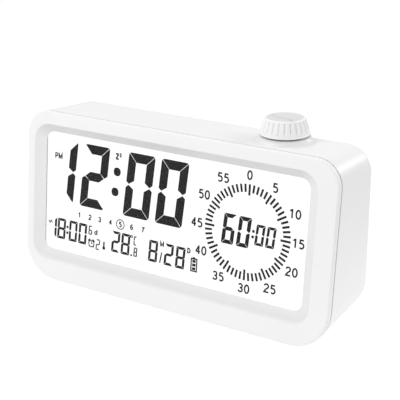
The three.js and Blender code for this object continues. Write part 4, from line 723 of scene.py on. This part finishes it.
# Plain upright figures and letters, as the middle lines of their strokes in a box one high.
bowl = round_path(0, -0.17, 0.24, 0.28, 128, -140)
GLYPHS = {
    "0": [(round_path(0, 0, 0.24, 0.45), True)],
    "1": [([(-0.17, 0.24), (0.03, 0.4)], False), ([(0.07, 0.5), (0.07, -0.5)], False)],
    "2": [([*round_path(0, 0.21, 0.23, 0.24, 172, -35, 14),
            (-0.1, -0.2), (-0.24, -0.45), (0.27, -0.45)], False)],
    "3": [([*round_path(0, 0.225, 0.21, 0.22, 160, -90, 14), (-0.06, 0.005)], False),
          ([(-0.06, 0.005), *round_path(0, -0.22, 0.235, 0.225, 90, -165, 14)], False)],
    "4": [([(0.29, -0.21), (-0.24, -0.21)], False), ([(-0.24, -0.22), (0.13, 0.44)], False),
          ([(0.12, 0.5), (0.12, -0.5)], False)],
    "5": [([(0.22, 0.45), (-0.15, 0.45), (-0.2, 0.02)], False), (bowl, False)],
    "6": [(round_path(0, -0.19, 0.23, 0.26), True),
          (round_path(0.05, 0.03, 0.29, 0.42, 62, 196, 14), False)],
    "7": [([(-0.25, 0.45), (0.22, 0.45), (0.0, 0.1), (-0.08, -0.5)], False)],
    "P": [([(-0.24, -0.5), (-0.24, 0.44), *round_path(0.02, 0.2, 0.2, 0.24, 90, -90, 10),
            (-0.24, -0.04)], False)],
    "M": [([(-0.32, -0.5), (-0.32, 0.4), (0, -0.3), (0.32, 0.4), (0.32, -0.5)], False)],
    "D": [([(-0.24, -0.44), *round_path(-0.04, 0, 0.3, 0.44, -90, 90, 12),
            (-0.24, 0.44)], True)],
    "d": [(round_path(-0.02, -0.17, 0.22, 0.26), True), ([(0.22, 0.5), (0.22, -0.45)], False)],
    "Z": [([(-0.3, 0.4), (0.22, 0.4)], False), ([(0.22, 0.4), (-0.24, -0.4)], False),
          ([(-0.24, -0.4), (0.28, -0.4)], False)],
}


def lettering(text, x, y, height, width, pitch=0.79):
    """Figures or letters of a height, centred on a place of the face and a pitch apart, as bands of
    ink of a width."""
    places = x + (np.arange(len(text)) - (len(text) - 1) / 2) * pitch * height
    return [stroke_of(np.array(path) * [1.06, 1] * (height - width * 0.1) + [at, y], width, closed)
            for letter, at in zip(text, places) for path, closed in GLYPHS[letter]]


TIME_Y, TIME_SIZE = 12.3, (7.15, 14.65, 4.25)
time_marks = [bar for figure, x in (("1", -61.95), ("2", -43.7), ("0", -18.8), ("0", -1.15))
              for bar in digit_of(figure, x, TIME_Y, *TIME_SIZE)]
time_marks += [disc_of(-31.9, 7.54, 1.95, 2.3), disc_of(-31.05, 16.87, 1.95, 2.3)]
new_piece("time_figures", time_marks, ink, "case")

DIAL_X, DIAL_Y, DIAL_RADIUS, TICK_WIDTH = 37.49, 2.3, 20.8, 0.98
LONG_TICK, SHORT_TICK = 16.05, 17.3
MINUTE_SIZE, SECOND_SIZE = (3.0, 6.65, 1.78), (2.1, 4.55, 1.2)
tick = np.arange(60)
tick_inner = np.where(tick % 5 == 0, LONG_TICK, SHORT_TICK)
tick_along = np.stack([np.sin(tick * np.pi / 30), np.cos(tick * np.pi / 30)], -1)
tick_starts = [DIAL_X, DIAL_Y] + tick_inner[:, None] * tick_along
tick_ends = [DIAL_X, DIAL_Y] + DIAL_RADIUS * tick_along
tick_marks = [bar_of(*start, *end, TICK_WIDTH) for start, end in zip(tick_starts, tick_ends)]
tick_marks += [bar for figure, x, y, size in (
    ("6", 28.62, 2.3, MINUTE_SIZE), ("0", 36.05, 2.3, MINUTE_SIZE),
    ("0", 43.8, 2.35, SECOND_SIZE), ("0", 49.0, 2.35, SECOND_SIZE),
) for bar in digit_of(figure, x, y, *size)]
tick_marks += [disc_of(40.4, 1.1, 0.62, 3), disc_of(40.6, 3.53, 0.62, 3)]
new_piece("timer_dial", tick_marks, ink, "case")

dial_figures = [("0", 37.2, 26.89), ("5", 49.51, 23.59), ("10", 59.3, 14.5), ("15", 61.75, 2.5),
                ("20", 59.7, -10.0), ("25", 50.1, -19.4), ("30", 37.6, -22.1), ("35", 24.7, -19.5),
                ("40", 15.3, -9.9), ("45", 12.5, 2.1), ("50", 15.5, 14.9), ("55", 24.45, 23.7)]
DIAL_LETTER, DIAL_STROKE = 3.95, 0.72
dial_marks = [mark for figures, x, y in dial_figures
              for mark in lettering(figures, x, y, DIAL_LETTER, DIAL_STROKE)]
new_piece("dial_numbers", dial_marks, ink, "case")

row = [("1", -67.75, 2.35), ("8", -62.4, 2.42), ("0", -55.45, 2.4), ("0", -49.75, 2.35),
       ("2", -30.5, 2.3), ("8", -24.98, 2.4), ("8", -9.68, 2.4), ("2", -1.2, 2.35), ("8", 4.9, 2.4)]
ROW_Y, ROW_HEIGHT, ROW_STROKE, ROW_LEAN = -15.55, 4.95, 1.22, 0.05
row_marks = [bar for figure, x, w in row
             for bar in digit_of(figure, x, ROW_Y, w, ROW_HEIGHT, ROW_STROKE, ROW_LEAN)]
row_marks += [bar for figure, x, y, w, h in (
    ("6", -45.25, -12.95, 1.05, 2.15), ("2", -40.7, -18.95, 1.15, 2.55),
    ("C", -19.6, -12.9, 0.9, 2.15), ("8", -19.35, -18.1, 1.0, 2.15),
) for bar in digit_of(figure, x, y, w, h, 0.6, ROW_LEAN)]
row_marks += [disc_of(-58.85, -14.1, 0.62, 3), disc_of(-58.9, -16.9, 0.62, 3),
              disc_of(-21.6, -20.0, 0.48, 3), ring_of(-21.75, -11.2, 0.72, 0.42),
              bar_of(-5.9, -20.2, -5.0, -15.2, 0.62)]
new_piece("lower_figures", row_marks, ink, "case")

WEEK_Y = -6.95
weekdays = [("1", -52.0), ("2", -45.7), ("3", -40.1), ("4", -33.9), ("5", -28.3), ("6", -21.9),
            ("7", -15.6)]
letters = [mark for t, x in weekdays for mark in lettering(t, x, WEEK_Y, 2.35, 0.55)]
letters += [mark for t, x, y, h, w in (
    ("PM", -65.1, 18.9, 2.6, 0.56), ("d", -42.0, -13.3, 2.6, 0.56), ("M", -5.0, -11.4, 2.3, 0.5),
    ("D", 9.2, -11.4, 2.3, 0.56), ("Z", -31.2, 23.9, 2.9, 0.72), ("Z", -29.4, 24.7, 1.7, 0.5))
    for mark in lettering(t, x, y, h, w, 0.86)]
letters.append(ring_of(-28.3, WEEK_Y, 2.4, 0.42))
signs = [ring_of(-44.5, -19.2, 1.8, 0.5),
         stroke_of([(-44.5, -18.0), (-44.5, -19.2), (-43.7, -19.2)], 0.4)]
signs += [stroke_of(ends, width) for ends, width in (
    ([(-46.4, -18.1), (-45.3, -17.1)], 0.6), ([(-43.7, -17.1), (-42.6, -18.1)], 0.6),
    ([(-46.0, -20.8), (-45.5, -20.3)], 0.5), ([(-43.5, -20.3), (-43.0, -20.8)], 0.5),
    ([(-37.2, -19.6), (-37.2, -16.9)], 0.8),
    ([(-70.3, -12.8), (-69.5, -13.9), (-68.8, -12.7), (-68.0, -13.8)], 0.45),
    ([(11.4, -14.1), (12.8, -14.1)], 0.6))]
battery_outline = [(10.7, -20.1), (13.6, -20.1), (13.6, -14.5), (10.7, -14.5)]
signs += [disc_of(-37.2, -19.9, 0.8), stroke_of(battery_outline, 0.6, closed=True)]
signs += [stroke_of([(11.3, y), (13.0, y)], 1.25) for y in (-19.0, -17.3, -15.6)]
new_piece("small_signs", letters + signs, ink, "case")

# Display window
# A thin clear acrylic sheet, held between the frame's plate and the display glass.
clear = speckled("clear_acrylic", (0.10, 0.11, 0.11), (0.13, 0.14, 0.14), 60, 0.04)
shader_of(clear).inputs["Alpha"].default_value = 0.03
dressed(clear, "display_window")

# Keys
# Four white ABS caps behind the rear wall, held by their flanges. Each stem presses the switch
# behind it, and the top of each cap is slightly hollow for the finger.
KEY_ROUND = 0.7
# The cap's rings from its flange to its hollow: margin round the cap's outline, and height.
key_turn = np.linspace(0, np.pi / 2, 7)
key_margin = [1, 1, 0, 0, 0, *(KEY_ROUND * (np.cos(key_turn) - 1)), -1.1, -1.7, -2.3, -2.7]
key_level = [-3.1, -2.3, -2.3, -2.2, 0.4, *(0.5 + KEY_ROUND * np.sin(key_turn)),
             1.19, 1.13, 1.06, 1.03]
stem_profile = [(POLE, -4.6), (1.5, -4.6), (1.6, -4.5), (1.6, -3.05), (POLE, -3.05)]
for name, x in KEY_PLACES.items():
    cap = rear_block(x, CONTROL_ROW, KEY_WIDTH, KEY_HEIGHT, KEY_CORNER,
                     [(margin,) * 3 for margin in key_margin], key_level, arc=10, runs=4)
    stem = turned_skin(stem_profile, 24, (x, CONTROL_ROW), from_rear)
    new_piece(f"{name}_key_cap", [cap, stem], satin_abs, f"{name}_key",
              [f"{name}_button"])

# Feet
# Round rubber pads, pressed into the recesses of the foot pads. The front two hide the case screws.
rubber = speckled("foot_rubber", (0.035, 0.035, 0.035), (0.055, 0.055, 0.053), 1800, 0.85,
                  bump=0.00004)
FOOT_RADIUS, FOOT_ROUND = 5, 0.5  # the profile ends in a shallow ring groove underneath
FLOOR = PAD_BOTTOM - 1
foot_arc = np.linspace(0, np.pi / 2, 6)
foot_profile = [(POLE, PAD_BOTTOM + 0.5), (4.9, PAD_BOTTOM + 0.5), (FOOT_RADIUS, PAD_BOTTOM + 0.4)]
foot_profile += [(FOOT_RADIUS - FOOT_ROUND * (1 - np.cos(a)), FLOOR + FOOT_ROUND * (1 - np.sin(a)))
                 for a in foot_arc]
foot_profile += [(3.7, FLOOR), (3.6, FLOOR + 0.15), (3.3, FLOOR + 0.15), (3.2, FLOOR),
                 (POLE, FLOOR)]
for name, place in FOOT_PLACES.items():
    new_piece(f"foot_{name}_rubber", [turned_skin(foot_profile, 64, place)], rubber, "case",
              [f"foot_{name}"])

# Sound switch
# A small black lever with three grip ridges, which slides in its slot in the rear wall. The slide
# switch that carries it is a folded steel can behind the wall.
black_abs = moulded_plastic("black_abs", (0.03, 0.03, 0.031), 0.5, GRAIN, GRAIN_DEPTH, mottle=0.15)
LEVER_WIDTH, LEVER_HEIGHT, LEVER_CORNER = 4.6, 3, 0.4
RIDGE_PITCH, HALF_RIDGE, HALF_RIDGE_LENGTH = 1.2, 0.3, 1.1
lever_margin = [(4.7, 1, 0), (4.7, 1, 0), (0, 0, 0), (0, 0, 0), (-0.1, -0.1, 0), (-0.35, -0.35, 0)]
lever = rear_block(SWITCH_X, CONTROL_ROW, LEVER_WIDTH, LEVER_HEIGHT, LEVER_CORNER, lever_margin,
                   [-2.9, -2.3, -2.3, 0.45, 0.7, 0.8], arc=6, runs=8)
lever_stem = rear_block(SWITCH_X, CONTROL_ROW, 2, 2, 0.15, [(0, 0, 0)] * 2, [-5.45, -2.6],
                        arc=3, runs=0)
lever_ridges = []
for x in (SWITCH_X - RIDGE_PITCH, SWITCH_X, SWITCH_X + RIDGE_PITCH):
    o = rounded_outline(x - HALF_RIDGE, x + HALF_RIDGE, CONTROL_ROW - HALF_RIDGE_LENGTH,
                        CONTROL_ROW + HALF_RIDGE_LENGTH, 0.25, 0.25, arc=5, runs=0)
    crest = [x, CONTROL_ROW] + (o - [x, CONTROL_ROW]) * [0.5, 0.93]
    lever_ridges.append(lofted([from_rear(*o.T, 0.5), from_rear(*o.T, 0.95),
                                from_rear(*crest.T, 1.05)]))
new_piece("sound_lever", [lever, *lever_ridges, lever_stem], black_abs, "sound_key",
          ["sound_slider"])

# Steel parts
# Plated steel, bright and slightly brushed: the screws, the folded cans of the switches, the charging
# socket's shell, the watch crystal's can, and the encoder's shaft, bushing, washer and nut.
plated = speckled("plated_steel", (0.52, 0.53, 0.54), (0.66, 0.67, 0.68), 700, 0.28, metal=1.0,
                  bump=0.000004, stretch=(1, 6, 1))
dressed(plated, *(f"display_screw_{i}" for i in range(1, 5)),
        *(f"board_screw_{i}" for i in range(1, 5)),
        *(f"button_board_screw_{i}" for i in range(1, 4)), "case_screw_left", "case_screw_right",
        *(f"{name}_switch_body" for name in (*KEY_PLACES, "sound")), "usb_socket",
        "quartz_crystal", "encoder_shaft", "encoder_bushing", "encoder_washer", "encoder_nut")

# Black plastic parts
# Glass-filled black plastic with a dull moulded skin: the encoder's base and plunger, the plungers of
# the push switches, the socket's tongue, and the speaker's basket and cone.
dressed(black_abs, "encoder_body", "encoder_plunger", "usb_tongue", "speaker",
        *(f"{name}_switch_actuator" for name in KEY_PLACES))

# Circuit boards
# Glass-fibre boards with copper tracks under green lacquer, which stand a little proud and look
# lighter. The tracks follow the borders of cells, and the lacquer has a fine orange-peel skin.


def cell_share(material, feature, scale, scatter, fade):
    """Share that is one on the borders of cells, or in their middles, and fades to zero between
    the two distances from there."""
    nodes, links = material.node_tree.nodes, material.node_tree.links
    cells, share = nodes.new("ShaderNodeTexVoronoi"), nodes.new("ShaderNodeMapRange")
    cells.feature = feature
    cells.inputs["Scale"].default_value = scale
    cells.inputs["Randomness"].default_value = scatter
    share.inputs["From Min"].default_value, share.inputs["From Max"].default_value = fade
    links.new(own_place(material), cells.inputs["Vector"])
    links.new(cells.outputs["Distance"], share.inputs["Value"])
    return share.outputs["Result"]


board = speckled("green_lacquer", (0.012, 0.085, 0.035), (0.018, 0.11, 0.045), 300, 0.3)
tracks = cell_share(board, "DISTANCE_TO_EDGE", 260, 1, (0.1, 0.06))
coloured(board, tracks, (0.05, 0.24, 0.10))
track_lift = board.node_tree.nodes.new("ShaderNodeBump")
track_lift.inputs["Distance"].default_value = 0.00004
board.node_tree.links.new(tracks, track_lift.inputs["Height"])
board.node_tree.links.new(track_lift.outputs["Normal"], shader_of(board).inputs["Normal"])
dressed(board, "main_board", "button_board", "encoder_board")

# Chip and sensor
# A drop of black resin over the bare chip, and a bead of the same resin round the sensor.
resin = speckled("black_resin", (0.012, 0.012, 0.012), (0.028, 0.028, 0.028), 500, 0.18,
                 bump=0.00003)
dressed(resin, "controller_chip", "temperature_sensor")

# Backlight
# Two moulded white lamps with a yellow phosphor face into the edge of a clear acrylic plate, whose
# back is printed with white dots that send the light forward.
lamp_package = speckled("lamp_package", (0.86, 0.74, 0.35), (0.93, 0.90, 0.80), 350, 0.35)
dressed(lamp_package, "backlight_led_left", "backlight_led_right")
dotted = speckled("dotted_acrylic", (0.80, 0.84, 0.86), (0.86, 0.90, 0.91), 60, 0.08)
coloured(dotted, cell_share(dotted, "F1", 700, 0, (0.28, 0.22)), (0.97, 0.97, 0.97))
dressed(dotted, "light_guide")

# Display holder
# A pale moulded frame that clamps the glass and the light plate to the front frame.
dressed(moulded_plastic("pale_holder", (0.78, 0.78, 0.75), 0.55, 7000, 0.00002), "lcd_frame")

# Contact strip
# Elastomer in fine dark and pale layers, which carries the segment lines from board to glass.
strip = speckled("striped_elastomer", (0.58, 0.55, 0.48), (0.64, 0.61, 0.53), 900, 0.7)
layers = strip.node_tree.nodes.new("ShaderNodeTexWave")
layers.inputs["Scale"].default_value = 500
strip.node_tree.links.new(own_place(strip), layers.inputs["Vector"])
coloured(strip, layers.outputs["Fac"], (0.06, 0.06, 0.06))
dressed(strip, "contact_strip")

# Cell, lead and ribbon
# The rechargeable cell wears a shrunk blue sleeve. Its red rubber-covered lead and the amber film
# ribbon join it and the control board to the main board.
sleeve = speckled("blue_sleeve", (0.045, 0.13, 0.34), (0.07, 0.18, 0.42), 120, 0.3, bump=0.00006)
dressed(sleeve, "battery_cell")
lead_cover = speckled("red_lead_cover", (0.36, 0.03, 0.025), (0.44, 0.05, 0.04), 1500, 0.6,
                      bump=0.00002)
dressed(lead_cover, "battery_lead")
film = speckled("amber_film", (0.36, 0.16, 0.03), (0.62, 0.36, 0.10), 500, 0.3, stretch=(4, 0.2, 0.2))
dressed(film, "ribbon_cable")
